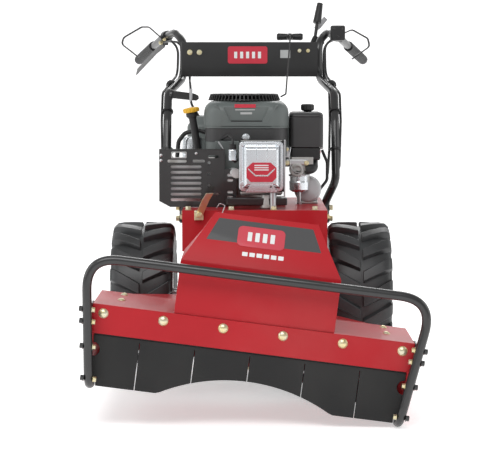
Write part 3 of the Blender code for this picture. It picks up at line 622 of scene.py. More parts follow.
pattern = tyre()
for side, sign in (("left", 1), ("right", -1)):
    low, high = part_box(f"tyre_{side}")
    hub = (low + high) / 2
    mesh = pattern.data.copy()
    on_axle = Matrix.Translation(hub) @ Matrix.Rotation(pi / 2, 4, "Y")
    mesh.transform(on_axle @ Matrix.Rotation(radians(4), 4, "Z"))
    piece = bpy.data.objects.new("tyre", mesh)
    bpy.context.scene.collection.objects.link(piece)
    settled(piece, f"lugged_tyre_{side}", RUBBER, "tyre_rubber", f"wheel_{side}", f"tyre_{side}")
    refined(f"rim_{side}", RIM, 1.5 * MM, 2, 20)
    refined(f"axle_shaft_{side}", STEEL, 1.5 * MM, 2)
    for i in range(5):
        turn = 2 * pi * i / 5
        place = hub + Vector((sign * 30 * MM, 45 * MM * cos(turn), 45 * MM * sin(turn)))
        bolt(f"wheel_nut_{side}_{i + 1}", "hex", place, (sign, 0, 0), 17 * MM, f"wheel_{side}")
    washer = rod(hub + mm(sign * 34, 0, 0), hub + mm(sign * 40, 0, 0), 24 * MM)
    settled(rounded(washer, 1.5 * MM), f"hub_washer_{side}", STEEL, "bright_steel", f"wheel_{side}")
    stem = hub + mm(sign * 40, 0, 80)
    neck = stem + mm(sign * 22, 0, 6)
    tip = stem + mm(sign * 30, 0, 8)
    valve = joined(rod(stem, neck, 4.5 * MM, 3.2 * MM, 16), rod(neck, tip, 3.9 * MM, sides=12))
    settled(rounded(valve, 0.4 * MM, 2), f"valve_{side}", BELT, "belt_rubber", f"wheel_{side}")
bpy.data.objects.remove(pattern)

# ---- Crankcase, cylinder and head ----
# A sand-cast case and barrel bolted to the platform, with the fins that carry the cylinder's heat away.
# The head is a separate casting, and the rocker cover on its face is pressed steel, plated bright.


def chrome():
    """Bright plating: almost a mirror, with fine polishing lines and a blue cast in the hollows."""
    plating = Finish("bright_plating", {"Metallic": 1.0})
    lines = plating.noise(300.0, 2.0, plating.stretched(1, 1, 0.06))
    cloud = plating.noise(12.0)
    silver = plating.mix(cloud, (0.62, 0.66, 0.70), (0.80, 0.82, 0.84))
    plating.feed(Base_Color=silver, Roughness=0.2 + lines * 0.06 + cloud * 0.06)
    plating.bump(cloud, 0.0004, 0.15)
    return plating.material


def printed(name, colour, roughness=0.35):
    """A plain printed film: one ink, slightly uneven, on a satin label."""
    film = Finish(name, {"Coat Weight": 0.15})
    cloud = film.noise(40.0)
    deeper = tuple(channel * 0.82 for channel in colour)
    film.feed(Base_Color=film.mix(cloud, deeper, colour), Roughness=roughness + cloud * 0.1)
    film.bump(film.noise(800.0), 0.0001, 0.2)
    return film.material


CHROME = chrome()
RED_FILM = printed("red_film", (0.55, 0.02, 0.045))
WHITE_FILM = printed("white_film", (0.78, 0.79, 0.79))


def carved(piece, *tools):
    """Cuts each tool's shape out of a piece and takes the tool away."""
    for tool in tools:
        applied(piece, "BOOLEAN", operation="DIFFERENCE", object=tool)
        bpy.data.objects.remove(tool)
    return piece


def drawn(outline, thickness, place):
    """A flat plate: an outline in millimetres, filled, thickened and set in place by a matrix."""
    bpy.ops.object.select_all(action="DESELECT")
    bpy.ops.mesh.primitive_circle_add(vertices=len(outline), fill_type="NGON")
    piece = bpy.context.active_object
    for vertex, (x, y) in zip(piece.data.vertices, in_mm(outline)):
        vertex.co = (x, y, 0)
    bpy.ops.object.mode_set(mode="EDIT")
    bpy.ops.mesh.select_all(action="SELECT")
    bpy.ops.mesh.extrude_region_move(TRANSFORM_OT_translate={"value": (0, 0, thickness)})
    closed_up()
    piece.matrix_world = place
    only(piece)
    bpy.ops.object.transform_apply()
    return piece


def facing_front(x, y, z):
    """Stands a drawn plate upright at a place in millimetres, its thickness running to the front."""
    return Matrix.Translation(mm(x, y, z)) @ Matrix.Rotation(pi / 2, 4, "X")


def runs_along(piece, edge, axis, least=MM):
    """Whether an edge covers more than this distance along an axis, 0 to 2 for X to Z."""
    first, last = [piece.data.vertices[end].co for end in edge.vertices]
    return abs(first[axis] - last[axis]) > least


refined("crankcase", CAST, 2 * MM, sharper_than=50)
refined("flywheel", CAST, 1 * MM, sharper_than=50)
low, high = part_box("cylinder_head")
head = rounded(block(low, high), 4 * MM)
slots = [low.z + (12 + 15 * i) * MM for i in range(9)]
grooves = [block((low.x - MM, low.y - MM, z), (high.x + MM, high.y - 9 * MM, z + 8 * MM)) for z in slots]
for groove in grooves:
    groove.data.transform(Matrix.Translation((0, 12 * MM, 0)))
settled(carved(head, *grooves), "finned_head", CAST, "cast_aluminium", "chassis", "cylinder_head")
for i in range(3):
    y = low.y + (54 + 15 * i) * MM
    fin = block((low.x + 2 * MM, y, 500 * MM), (high.x - 2 * MM, y + 3 * MM, 600 * MM))
    settled(rounded(fin, 1 * MM, 2), f"barrel_fin_{i + 1}", CAST, "cast_aluminium", "chassis")

low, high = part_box("rocker_cover")
flange = block((low.x, high.y - 5 * MM, low.z), high)
picked(flange, "EDGE", lambda edge: runs_along(flange, edge, 1))
bpy.ops.mesh.bevel(offset=13 * MM, segments=6)
bpy.ops.object.mode_set(mode="OBJECT")
picked(flange, "FACE", lambda face: face.normal.y < -0.9)
bpy.ops.mesh.inset(thickness=10 * MM)
bpy.ops.mesh.extrude_region_move(TRANSFORM_OT_translate={"value": (0, -18 * MM, 0)})
bpy.ops.transform.resize(value=(0.93, 1, 0.94))
bpy.ops.mesh.extrude_region_move(TRANSFORM_OT_translate={"value": (0, -5 * MM, 0)})
bpy.ops.transform.resize(value=(0.86, 1, 0.88))
bpy.ops.object.mode_set(mode="OBJECT")
ribs = []
for x in (14 * MM, 42 * MM):
    ribs.append(rod((x, low.y + 4 * MM, 602 * MM), (x, low.y + 4 * MM, 634 * MM), 3.4 * MM, 2.2 * MM, 16))
cover = rounded(joined(flange, *ribs), 1.6 * MM, 3, 25)
settled(cover, "pressed_rocker_cover", CHROME, "chrome", "chassis", "rocker_cover")
gasket = block((low.x - MM, high.y - 0.5 * MM, low.z - MM), (high.x + MM, high.y + 1.2 * MM, high.z + MM))
settled(rounded(gasket, 0.4 * MM, 1), "rocker_gasket", BELT, "belt_rubber", "chassis")
for level, z in (("low", low.z + 22 * MM), ("high", high.z - 7 * MM)):
    for i, x in enumerate((low.x + 9 * MM, high.x - 15 * MM)):
        place = (x, high.y - 5 * MM, z)
        bolt(f"rocker_bolt_{level}_{i + 1}", "hex", place, (0, -1, 0), 12 * MM, "chassis", CHROME, "chrome")
front = low.y / MM
outline = [(-40, 8), (-40, -18), (-29, -30), (29, -30), (40, -18), (40, 8), (24, 22), (-24, 22)]
badge = drawn(outline, 1.2 * MM, facing_front(27, front + 0.4, 571))
settled(rounded(badge, 0.5 * MM, 2), "rocker_badge", RED_FILM, "red_paint", "chassis")
outline = [(-38, 6), (-17, -15), (17, -15), (38, 6), (34, 6), (15, -11), (-15, -11), (-34, 6)]
vee = drawn(outline, 1 * MM, facing_front(27, front - 0.6, 571))
settled(rounded(vee, 0.4 * MM, 2), "rocker_badge_vee", CHROME, "chrome", "chassis")
for i in range(3):
    line = block(mm(8, front - 1.2, 572 + 6 * i), mm(46, front - 0.6, 575 + 6 * i))
    settled(rounded(line, 0.2 * MM, 1), f"rocker_badge_line_{i + 1}", WHITE_FILM, "chrome", "chassis")
tab = drawn([(-44, -11), (44, -11), (30, 10), (-30, 10)], 3 * MM, facing_front(27, front + 4, 524))
tab = carved(tab, rod(mm(52, front - 5, 528), mm(52, front + 8, 528), 3 * MM))
settled(rounded(tab, 0.8 * MM, 2), "rocker_cover_step", CHROME, "chrome", "chassis")
side_plate = rounded(block(mm(87.5, front + 4, 500), mm(91, front + 70, 652)), 1 * MM, 2)
settled(side_plate, "head_side_shield", STEEL, "bright_steel", "chassis")
rail = rounded(block(mm(-66, front + 14, 478), mm(96, front + 52, 497)), 2 * MM)
settled(rail, "head_foot_rail", SATIN, "black_paint", "chassis")
foot = rounded(rod(mm(40, front + 26, 470), mm(40, front + 26, 506), 15 * MM, 13 * MM), 1.5 * MM)
settled(foot, "oil_drain_boss", CAST, "cast_aluminium", "chassis")
post = rounded(rod(mm(58, front + 18, 467), mm(58, front + 18, 512), 9 * MM), 1 * MM)
settled(post, "head_spacer", STEEL, "bright_steel", "chassis")

# ---- Blower housing and recoil starter ----
# A moulded cover over the flywheel, with a raised panel and ridges on its front, above a black steel band.
# A grey shield closes it below, and a vented plastic screen lets the air in on top.


def moulded(name, dark, light, grain=900.0):
    """Injection-moulded plastic: even colour, spark-eroded grain and a little dust."""
    plastic = Finish(name, {"Specular IOR Level": 0.45})
    cloud = plastic.noise(13.0, 3.0)
    plastic.feed(Base_Color=plastic.mix(cloud, dark, light), Roughness=0.36 + cloud * 0.16)
    plastic.bump(plastic.noise(grain, 1.0), 0.0002, 0.35)
    return plastic.material


GREY_GREEN = moulded("grey_green_plastic", (0.085, 0.100, 0.098), (0.125, 0.142, 0.137))
BLACK_PLASTIC = moulded("black_plastic", (0.008, 0.008, 0.0085), (0.016, 0.016, 0.0165))
CHARCOAL = moulded("charcoal_plastic", (0.026, 0.026, 0.027), (0.042, 0.042, 0.043))
low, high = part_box("blower_housing")
BAND_TOP, BAND_LOW = 684 * MM, 643 * MM


def upright(piece):
    """Picks the edges that stand upright."""
    picked(piece, "EDGE", lambda edge: runs_along(piece, edge, 2, 5 * MM))


def housing_ring(bottom, top, inset):
    """A block with the housing's round corners, between two heights and drawn in by an inset."""
    drawn_in = Vector((inset, inset, 0))
    piece = block(Vector((low.x, low.y, bottom)) + drawn_in, Vector((high.x, high.y, top)) - drawn_in)
    upright(piece)
    bpy.ops.mesh.bevel(offset=50 * MM - inset, segments=10)
    bpy.ops.object.mode_set(mode="OBJECT")
    return piece


cover = housing_ring(BAND_TOP, high.z, 0)
picked(cover, "FACE", lambda face: face.normal.z > 0.9)
bpy.ops.mesh.bevel(offset=40 * MM, segments=9, profile=0.6)
bpy.ops.object.mode_set(mode="OBJECT")
front = low.y / MM
outline = [(-64, 16), (-46, -20), (42, -20), (60, 16), (52, 40), (-56, 40)]
recess = drawn(outline, 20 * MM, facing_front(-12, front + 4.5, 719))
cover = rounded(carved(cover, recess), 1.6 * MM, 3, 28)
settled(cover, "blower_cover", GREY_GREEN, "shroud_plastic", "chassis", "blower_housing")
lip = rounded(housing_ring(BAND_TOP - 4 * MM, BAND_TOP + 4 * MM, 0), 1.6 * MM, 2)
settled(lip, "blower_cover_lip", GREY_GREEN, "shroud_plastic", "chassis")
band = rounded(housing_ring(BAND_LOW, BAND_TOP - 2 * MM, 3 * MM), 0.8 * MM, 2)
settled(band, "blower_band", CHARCOAL, "dark_plastic", "chassis")
shield = rounded(housing_ring(low.z, BAND_LOW + MM, 5 * MM), 0.8 * MM, 2)
settled(shield, "blower_shield", GREY_GREEN, "shroud_plastic", "chassis")
for side, start, end in (("right", (-98, 744), (-62, 697)), ("left", (70, 744), (44, 697))):
    high_end, low_end = mm(start[0], front + 5, start[1]), mm(end[0], front + 1.8, end[1])
    ridge = rod(high_end, low_end, 3.4 * MM, 2.6 * MM, 14)
    settled(rounded(ridge, 0.8 * MM, 2), f"blower_ridge_{side}", GREY_GREEN, "shroud_plastic", "chassis")
# A thin black strip along the foot of the panel's recess is painted shade: it stands for the shadow under the
# step, not for a real part.
slit = block(mm(-56, front - 0.4, 698), mm(30, front + 3, 701))
settled(rounded(slit, 0.4 * MM, 1), "blower_panel_shadow_gap", BLACK_PLASTIC, "dark_plastic", "chassis")
stripe = block(mm(-46, front + 3.7, 736), mm(12, front + 4.6, 746))
settled(rounded(stripe, 0.3 * MM, 1), "blower_label_stripe", RED_FILM, "red_paint", "chassis")
SILVER_FILM = printed("silver_film", (0.42, 0.43, 0.43), 0.3)
for i, (left, right, z, tall) in enumerate(((-44, 10, 729, 3), (-30, 2, 718, 6))):
    line = rounded(block(mm(left, front + 3.7, z), mm(right, front + 4.5, z + tall)), 0.3 * MM, 1)
    settled(line, f"blower_label_line_{i + 1}", SILVER_FILM, "shroud_plastic", "chassis")
bolt("blower_band_bolt", "hex", mm(-15, front + 3, 656), (0, -1, 0), 16 * MM, "chassis", CHROME, "chrome")

low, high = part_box("recoil_cover")
centre = (low + high) / 2
reach = (high.x - low.x) / 2
middle = (centre.x, centre.y, 0)
edge = reach - 6 * MM
plate = turned([(0, low.z), (edge, low.z), (edge, low.z + 4 * MM), (0, low.z + 4 * MM)], middle, steps=64)
rings = []
for r in (38 * MM, 56 * MM, 74 * MM, 90 * MM):
    outer = r + 4 * MM
    section = [(r, high.z - 5 * MM), (outer, high.z - 5 * MM), (outer, high.z - MM), (r, high.z - MM)]
    rings.append(turned(section, middle, steps=64))
section = [(0, low.z), (38 * MM, low.z), (38 * MM, high.z - 2 * MM), (34 * MM, high.z), (0, high.z)]
hub = rounded(turned(section, middle, steps=64), 1 * MM, 2)
ribs = []
for i in range(56):
    turn = Matrix.Translation((centre.x, centre.y, 0)) @ Matrix.Rotation(2 * pi * i / 56, 4, "Z")
    rib = block((35 * MM, -1.5 * MM, low.z), (reach - 1 * MM, 1.5 * MM, high.z - 3 * MM))
    for vertex in rib.data.vertices:
        if vertex.co.x > reach - 2 * MM and vertex.co.z > centre.z:
            vertex.co.x -= 6 * MM
    rib.data.transform(turn)
    ribs.append(rib)
screen = joined(plate, hub, *rings, *ribs)
settled(rounded(screen, 0), "vented_screen", BLACK_PLASTIC, "dark_plastic", "chassis", "recoil_cover")

# ---- Air cleaner ----
# A moulded box on a base, with a lid that lifts off once its one fluted knob is unscrewed.
# All of it is black and charcoal plastic.


def flute_cutters(count, reach, radius, bottom, top, place, sides=12):
    """Cutters for the flutes of a knob: a ring of upright rods, moved into place by a matrix."""
    cutters = []
    for i in range(count):
        turn = 2 * pi * i / count
        x, y = reach * cos(turn), reach * sin(turn)
        cutter = rod((x, y, bottom), (x, y, top), radius, sides=sides)
        cutter.data.transform(place)
        cutters.append(cutter)
    return cutters


low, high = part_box("air_filter_housing")
body = block(low, (high.x, high.y, high.z - 13 * MM))
upright(body)
bpy.ops.mesh.bevel(offset=13 * MM, segments=6)
bpy.ops.object.mode_set(mode="OBJECT")
settled(rounded(body, 1.5 * MM), "air_cleaner_box", CHARCOAL, "dark_plastic", "chassis", "air_filter_housing")
lid = block((low.x, low.y, high.z - 12.4 * MM), high)
upright(lid)
bpy.ops.mesh.bevel(offset=14 * MM, segments=6)
bpy.ops.object.mode_set(mode="OBJECT")
picked(lid, "FACE", lambda face: face.normal.z > 0.9)
bpy.ops.mesh.bevel(offset=9 * MM, segments=2)
bpy.ops.mesh.inset(thickness=10 * MM)
bpy.ops.transform.translate(value=(0, 0, -1.5 * MM))
bpy.ops.object.mode_set(mode="OBJECT")
settled(rounded(lid, 2 * MM, 3, 25), "air_cleaner_lid", CHARCOAL, "dark_plastic", "chassis")
low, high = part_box("air_filter_knob")
centre = (low + high) / 2
middle = Vector((centre.x, centre.y, 0))
profile = [(0, low.z), (9 * MM, low.z), (19 * MM, low.z + 6 * MM), (19 * MM, high.z - 3 * MM)]
knob = turned(profile + [(15 * MM, high.z), (0, high.z)], middle, steps=30)
flutes = flute_cutters(10, 21 * MM, 3.6 * MM, low.z, high.z + MM, Matrix.Translation(middle))
knob = rounded(carved(knob, *flutes), 0.8 * MM, 2, 28)
settled(knob, "fluted_knob", BLACK_PLASTIC, "dark_plastic", "filter_screw", "air_filter_knob")
low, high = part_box("air_filter_housing")
base = block(low + mm(4, 4, -36), (high.x - 8 * MM, high.y - 20 * MM, low.z - 0.5 * MM))
settled(rounded(base, 5 * MM), "air_cleaner_base", BLACK_PLASTIC, "dark_plastic", "chassis")

# ---- Cutting deck ----
# The red shell, welded from 4 mm plate, is drawn level and then turned to the roll it stands at.
# Carriage bolts along its front strip clamp the upper edge of the rubber flap behind it.
blade_axle = next(j for j in frame["record"]["behaviour"]["joints"] if j["name"] == "blade_spin")["axis"]
ROLL = Matrix.Rotation(atan2(blade_axle[0], blade_axle[2]), 4, "Y")
TILT = Matrix.Translation((0, 0, 0.2)) @ ROLL @ Matrix.Translation((0, 0, -0.2))


def sheet_rubber():
    """Ply-reinforced sheet rubber: matt grey, scuffed and dusty."""
    rubber = Finish("flap_rubber", {"Specular IOR Level": 0.3})
    scuffs = rubber.noise(30.0, 4.0, rubber.stretched(1, 1, 0.3))
    dust = rubber.noise(6.0, 3.0)
    grey = rubber.mix(scuffs, (0.014, 0.014, 0.0145), (0.024, 0.024, 0.024))
    dusty = rubber.mix(rubber.ramp(dust, (0.45, 0.0), (0.8, 0.35)), grey, (0.042, 0.041, 0.039))
    rubber.feed(Base_Color=dusty, Roughness=0.6 + scuffs * 0.25)
    rubber.bump(rubber.noise(500.0, 2.0), 0.0003, 0.4)
    return rubber.material


def on_deck(piece):
    """Rolls a piece drawn on the level deck to where the deck carries it."""
    piece.data.transform(TILT)
    return piece


def level_box(node):
    """The corners of a deck node's box as it would be with the deck level."""
    unrolled = TILT.inverted()
    places = [unrolled @ vertex.co for vertex in frame["nodes"][node].data.vertices]
    return [Vector(ends(place[i] for place in places) for i in range(3)) for ends in (min, max)]


FLAP = sheet_rubber()
refined("deck_shell", ENAMEL, 3 * MM)
shell_low = level_box("deck_shell")[0]
for i in range(6):
    place = (shell_low.x + 27.5 * MM + 141 * MM * i, shell_low.y, 228 * MM)
    bolt(f"strip_bolt_{i + 1}", "dome", place, (0, -1, 0), 21 * MM, "deck", tilt=TILT)
band = block(mm(-368, -935.7, 176.6), mm(368, -930.7, 244))
settled(on_deck(rounded(band, 0.6 * MM, 1)), "flap_clamped_edge", FLAP, "flap_rubber", "deck")
for side in (-1, 1):
    for i, y in enumerate((-860, -700, -540)):
        place = mm(380 * side, y, 176)
        bolt(f"skirt_bolt_{side + 1}_{i + 1}", "dome", place, (side, 0, 0), 18 * MM, "deck", tilt=TILT)
for i, (x, y) in enumerate(((-320, -830), (320, -830), (-320, -730), (320, -730))):
    bolt(f"shelf_bolt_{i + 1}", "dome", mm(x, y, 249), (0, 0, 1), 17 * MM, "deck", tilt=TILT)

# ---- Front flap ----
# A 5 mm rubber sheet slit into fingers and arched in the middle, so that it gives way to brush.
# Its corners are notched round the skids.


def flap_foot(x):
    """The height of the flap's lower edge at a distance from its middle, in millimetres."""
    arched = 109 - 419.9 + sqrt(max(419.9**2 - x * x, 0))
    return max(arched, 55) if abs(x) < 206 else 55


half = [(-368, 176), (-368, 158)] + [(-368 + y, 141 + x) for x, y in arc((0, 0), 17, 0, 180, 8)]
half += [(-368, 73), (-352, 73), (-352, 55)]
foot = []
for x in range(-340, 341, 10):
    if x % 130 == 0 and abs(x) < 300:
        foot += [(x - 0.9, flap_foot(x)), (x - 0.9, 168), (x + 0.9, 168), (x + 0.9, flap_foot(x))]
    else:
        foot.append((x, flap_foot(x)))
outline = half + foot + [(-x, z) for x, z in reversed(half)]
flap = drawn(outline, 5 * MM, facing_front(0, -930.5, 0))
applied(flap, "BEVEL", width=0.5 * MM, segments=1, limit_method="ANGLE", angle_limit=radians(40))
settled(on_deck(flap), "slit_flap", FLAP, "flap_rubber", "flap", "front_flap")

# ---- Belt hood ----
# A folded steel cover over the blade belt, enamelled with the deck.
# Its sloping face carries a grey decal with a plain red badge and a row of pale bars.
refined("belt_hood", ENAMEL, 4 * MM)
SLOPE = Matrix.Translation(mm(0, -935, 374)) @ Matrix.Rotation(atan2(116, 77), 4, "X")
GREY_FILM = printed("grey_film", (0.05, 0.05, 0.052), 0.5)


def on_slope(name, outline, height, thickness, film, slot):
    """A film or badge on the hood's sloping face, drawn from the fold upwards, in millimetres."""
    place = TILT @ SLOPE @ Matrix.Translation((0, 0, height * MM))
    piece = drawn(outline, thickness * MM, place)
    return settled(rounded(piece, thickness * 0.3 * MM, 1), name, film, slot, "deck")


def round_box(half_x, half_y, radius, centre=(0, 0)):
    """A rectangle with round corners about a centre."""
    points = []
    for x, y, start in ((1, 1, 0), (-1, 1, 90), (-1, -1, 180), (1, -1, 270)):
        corner = (centre[0] + x * (half_x - radius), centre[1] + y * (half_y - radius))
        points += arc(corner, radius, start, start + 90, 5)
    return points


on_slope("hood_decal", [(-156, 16), (156, 16), (112, 125), (-112, 125)], 0.1, 0.5, GREY_FILM, "dark_plastic")
on_slope("hood_badge", round_box(56, 27, 12, (-8, 84)), 0.4, 1.2, RED_FILM, "red_paint")
for i in range(4):
    bar = round_box(5.2, 12, 1.5, (-35 + 18 * i, 84))
    on_slope(f"hood_badge_bar_{i + 1}", bar, 1.4, 0.8, WHITE_FILM, "chrome")
for i in range(6):
    bar = round_box(6.5, 5.5, 1.2, (-42 + 17 * i, 37))
    on_slope(f"hood_lower_bar_{i + 1}", bar, 0.4, 0.5, WHITE_FILM, "chrome")

# ---- Bumper and skids ----
# One 22 mm tube bent round the front of the deck, run back below it each side as a skid.
# A bracket each side holds it, with the bolts' heads outside and their zinc nuts inside.


def bent(points, radius, steps=10):
    """The centre line of a bent bar, in millimetres: each inner corner becomes an arc."""
    points = [Vector(point) for point in points]
    line = [points[0]]
    for before, corner, after in zip(points, points[1:], points[2:]):
        back, ahead = (before - corner).normalized(), (after - corner).normalized()
        half_turn = back.angle(ahead) / 2
        room = min((before - corner).length, (after - corner).length) * 0.49
        reach = min(radius * cos(half_turn) / sin(half_turn), room)
        first, last = corner + back * reach, corner + ahead * reach
        for i in range(steps + 1):
            t = i / steps
            line.append((1 - t) ** 2 * first + 2 * t * (1 - t) * corner + t**2 * last)
    return line + [points[-1]]


def tube(line, radius, resolution=5):
    """A round bar along a line of points in millimetres, closed at both ends."""
    curve = bpy.data.curves.new("tube", "CURVE")
    curve.dimensions = "3D"
    curve.bevel_depth = radius * MM
    curve.bevel_resolution = resolution
    curve.use_fill_caps = True
    spline = curve.splines.new("POLY")
    spline.points.add(len(line) - 1)
    for point, place in zip(spline.points, line):
        point.co = (*(Vector(place) * MM), 1)
    piece = bpy.data.objects.new("tube", curve)
    bpy.context.scene.collection.objects.link(piece)
    only(piece)
    bpy.ops.object.convert(target="MESH")
    piece = bpy.context.active_object
    bpy.ops.object.mode_set(mode="EDIT")
    closed_up()
    return rounded(piece, 0)


TUBE = 11.1
roll = atan2(blade_axle[0], blade_axle[2])
# The skid on the low side touches the ground, with the deck's pivot 200 mm above it.
skid_z = 200 - (200 - TUBE - 365 * sin(roll)) / cos(roll)
half = bent([(-365, -505, skid_z), (-365, -961, skid_z), (-406, -965, 359)], 45, 8)[:-1]
half += bent([half[-1], (-406, -965, 359), (0, -965, 359)], 70, 14)[1:-1]
bumper = tube(half + [Vector((-p.x, p.y, p.z)) for p in reversed(half)], TUBE, 6)
settled(on_deck(bumper), "bent_bumper", SATIN, "black_paint", "deck", "bumper_tube")
for side, name in ((1, "left"), (-1, "right")):
    low, high = level_box(f"bumper_bracket_{name}")
    plate = block(low, high)
    tops = {vertex.index for vertex in plate.data.vertices if vertex.co.z > high.z - MM}
    picked(plate, "EDGE", lambda edge: runs_along(plate, edge, 0) and tops.issuperset(edge.vertices))
    bpy.ops.mesh.bevel(offset=16 * MM, segments=6)
    bpy.ops.object.mode_set(mode="OBJECT")
    plate = on_deck(rounded(plate, 1 * MM, 2))
    settled(plate, f"rounded_bracket_{name}", SATIN, "black_paint", "deck", f"bumper_bracket_{name}")
    refined(f"skid_shoe_{name}", SATIN, 1 * MM, 2)
    for i, (z, x) in enumerate(((236, 389.5), (208, 385.7), (150, 377.8), (75, 367.6))):
        head = f"bumper_bolt_{name}_{i + 1}"
        place = mm(side * (x + 10.6), -962, z)
        bolt(head, "hex", place, (side, 0, 0), 13 * MM, "deck", SATIN, "black_paint", TILT)
        place = mm(side * (x - 10.6), -962, z)
        bolt(f"bumper_nut_{name}_{i + 1}", "hex", place, (-side, 0, 0), 12 * MM, "deck", tilt=TILT)
    plug = rounded(rod(mm(side * 365, -507, skid_z), mm(side * 365, -502, skid_z), 9 * MM), 1 * MM, 2)
    settled(on_deck(plug), f"skid_plug_{name}", BLACK_PLASTIC, "dark_plastic", "deck")

# ---- Blade, spindle and pivot ----
# A bar blade under a plate turns in a cast housing on the deck, with the belt's pulley above.
# The whole deck rolls about the steel shaft at its rear.
refined("spindle_housing", CAST, 1.5 * MM, 2, 40)
refined("blade_spindle", STEEL, 1 * MM, 2, 40)
refined("blade_pulley", STEEL, 0.8 * MM, 2, 40)
refined("deck_pivot_shaft", STEEL, 1.5 * MM, 2, 40)
refined("cutting_blade", STEEL, 1 * MM, 2)
for i, turn in enumerate((45, 135, 225, 315)):
    place = (62 * MM * cos(radians(turn)), -560 * MM + 62 * MM * sin(radians(turn)), 213 * MM)
    bolt(f"spindle_bolt_{i + 1}", "hex", place, (0, 0, 1), 14 * MM, "deck", tilt=TILT)
bolt("blade_nut", "hex", mm(0, -560, 98.4), (0, 0, -1), 34 * MM, "blade", tilt=TILT)

# ---- Muffler and its guard ----
# A steel muffler shell on the exhaust side, behind a folded black guard with rows of slots.
# A slotted heat shield stands between it and the cylinder.


def heated_steel():
    """Aluminised muffler steel, darkened and browned where it runs hot; its pale grey is partly painted
    light.
    """
    shell = Finish("heated_steel", {"Metallic": 0.35})
    stain = shell.noise(16.0, 4.0)
    # The pale grey is partly the steel's own colour and partly painted light: it is set lighter so that the
    # muffler, in the shade of its guard, shows bright through the slots.
    pale = shell.mix(stain, (0.74, 0.74, 0.75), (0.90, 0.90, 0.90))
    browned = shell.mix(shell.ramp(stain, (0.5, 0.0), (0.75, 0.6)), pale, (0.42, 0.33, 0.26))
    shell.feed(Base_Color=browned, Roughness=0.34 + stain * 0.25)
    shell.bump(shell.noise(260.0, 3.0), 0.0003, 0.3)
    return shell.material


HEATED = heated_steel()
refined("muffler", HEATED, 1 * MM, 2, 50)
low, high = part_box("muffler")
seam = block(low + mm(-2, 30, -2), (high.x + 2 * MM, low.y + 34 * MM, high.z + 2 * MM))
settled(rounded(seam, 12 * MM, 4), "muffler_seam", HEATED, "bright_steel", "chassis")
route = [(high.x / MM - 6, -180, 560), (-62, -180, 560), (-52, -200, 560), (-40, -262, 560)]
settled(tube(bent(route, 18), 13), "exhaust_pipe", HEATED, "bright_steel", "chassis")

low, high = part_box("muffler_guard")


def slot_cutter(left, right, z, tall):
    """A round-ended cutter for one slot of the guard, between two sides and about a height."""
    half_x, centre = (right - left) / 2, ((left + right) / 2, z)
    outline = round_box(half_x, tall / 2, min(half_x, tall / 2) - 0.05, centre)
    return drawn(outline, 20 * MM, facing_front(0, low.y / MM + 10, 0))


(low_x, low_z), (high_x, high_z) = (low.x / MM, low.z / MM), (high.x / MM, high.z / MM)
outline = [(low_x + 30, low_z), (high_x, low_z), (high_x, high_z), (low_x, high_z), (low_x, low_z + 16)]
front = drawn(outline, 2.5 * MM, facing_front(0, low.y / MM + 2.5, 0))
rows = [(-220, -136, 487 + 14.9 * i, 7.5) for i in range(7)]
rows += [(-228, -176, 592, 7.5), (-160, -126, 592, 7.5)]
rows += [(-119, -111, 495 + 31 * i, 8) for i in range(4)]
rows += [(-118, -88, 604, 7.5), (-118, -88, 502, 7.5), (-216, -178, 609, 14)]
front = carved(front, *[slot_cutter(*row) for row in rows])
top = block((low.x, low.y, high.z - 2.5 * MM), high)
sides = []
for x in (low.x, high.x - 2.5 * MM):
    sides.append(block((x, low.y, low.z + 18 * MM), (x + 2.5 * MM, high.y, high.z)))
for name, piece in (("front", front), ("top", top), ("side_right", sides[0]), ("side_left", sides[1])):
    stands_for = ["muffler_guard"] if name == "front" else []
    settled(rounded(piece, 0.9 * MM, 2), f"guard_{name}", SATIN, "black_paint", "chassis", *stands_for)
window = drawn(round_box(21, 9, 3, (-197, 609)), 1.5 * MM, facing_front(0, low.y / MM, 0))
window = carved(window, drawn(round_box(18, 6.5, 2, (-197, 609)), 9 * MM, facing_front(0, low.y / MM + 4, 0)))
settled(rounded(window, 0.4 * MM, 1), "guard_window_frame", SILVER_FILM, "bright_steel", "chassis")
for i, z in enumerate((608, 594)):
    place = (low.x + 5 * MM, low.y, z * MM)
    bolt(f"guard_rivet_{i + 1}", "dome", place, (0, -1, 0), 8 * MM, "chassis", STEEL, "bright_steel")
bolt("guard_screw", "dome", mm(-150, low.y / MM, 613), (0, -1, 0), 7 * MM, "chassis", STEEL, "bright_steel")
shield = drawn(round_box(16, 45, 4, (-57, 526)), 2 * MM, facing_front(0, -232, 0))
openings = [slot_cutter(-66, -50, z, 7) for z in (494, 508, 540, 554)]
for opening in openings:
    opening.data.transform(Matrix.Translation((0, 8 * MM, 0)))
settled(rounded(carved(shield, *openings), 0.7 * MM, 2), "heat_shield", SATIN, "black_paint", "chassis")
inner = rounded(block(mm(-70, -230, 484), mm(-44, -227, 566)), 1 * MM, 2)
settled(inner, "heat_shield_lining", HEATED, "bright_steel", "chassis")

# ---- Plug boot, filler tube and starter ----
# A rubber boot with a bright shield sits on the spark plug; the oil filler carries a yellow fluted cap.
# The starter is a bright drum with a black end cap, bolted to the side of the case.
refined("spark_plug_boot", BLACK_PLASTIC, 1.5 * MM, 3)
shield = turned(in_mm([(0, 0), (12.5, 0), (12.5, 26), (10, 30), (0, 30)]), mm(-50, -290, 597))
settled(rounded(shield, 1.2 * MM, 2), "plug_shield", CHROME, "chrome", "chassis")
wire = tube(bent([(-50, -290, 640), (-50, -286, 656), (-62, -250, 664), (-82, -190, 650)], 14), 3.4)
settled(wire, "plug_wire", BLACK_PLASTIC, "dark_plastic", "chassis")
refined("oil_filler_tube", BLACK_PLASTIC, 0.8 * MM, 2, 40)
YELLOW = moulded("yellow_plastic", (0.60, 0.33, 0.012), (0.74, 0.43, 0.03), 700.0)
neck, crown = mm(-128, -118, 493), mm(-166, -125, 722)
axis = (crown - neck).normalized()
profile = [(0, 0.3), (21, 0.3), (23, 3), (23, 10), (20, 13), (0, 13)]
cap = turned(in_mm(profile), crown, axis, 48)
lean = Vector((0, 0, 1)).rotation_difference(axis).to_matrix().to_4x4()
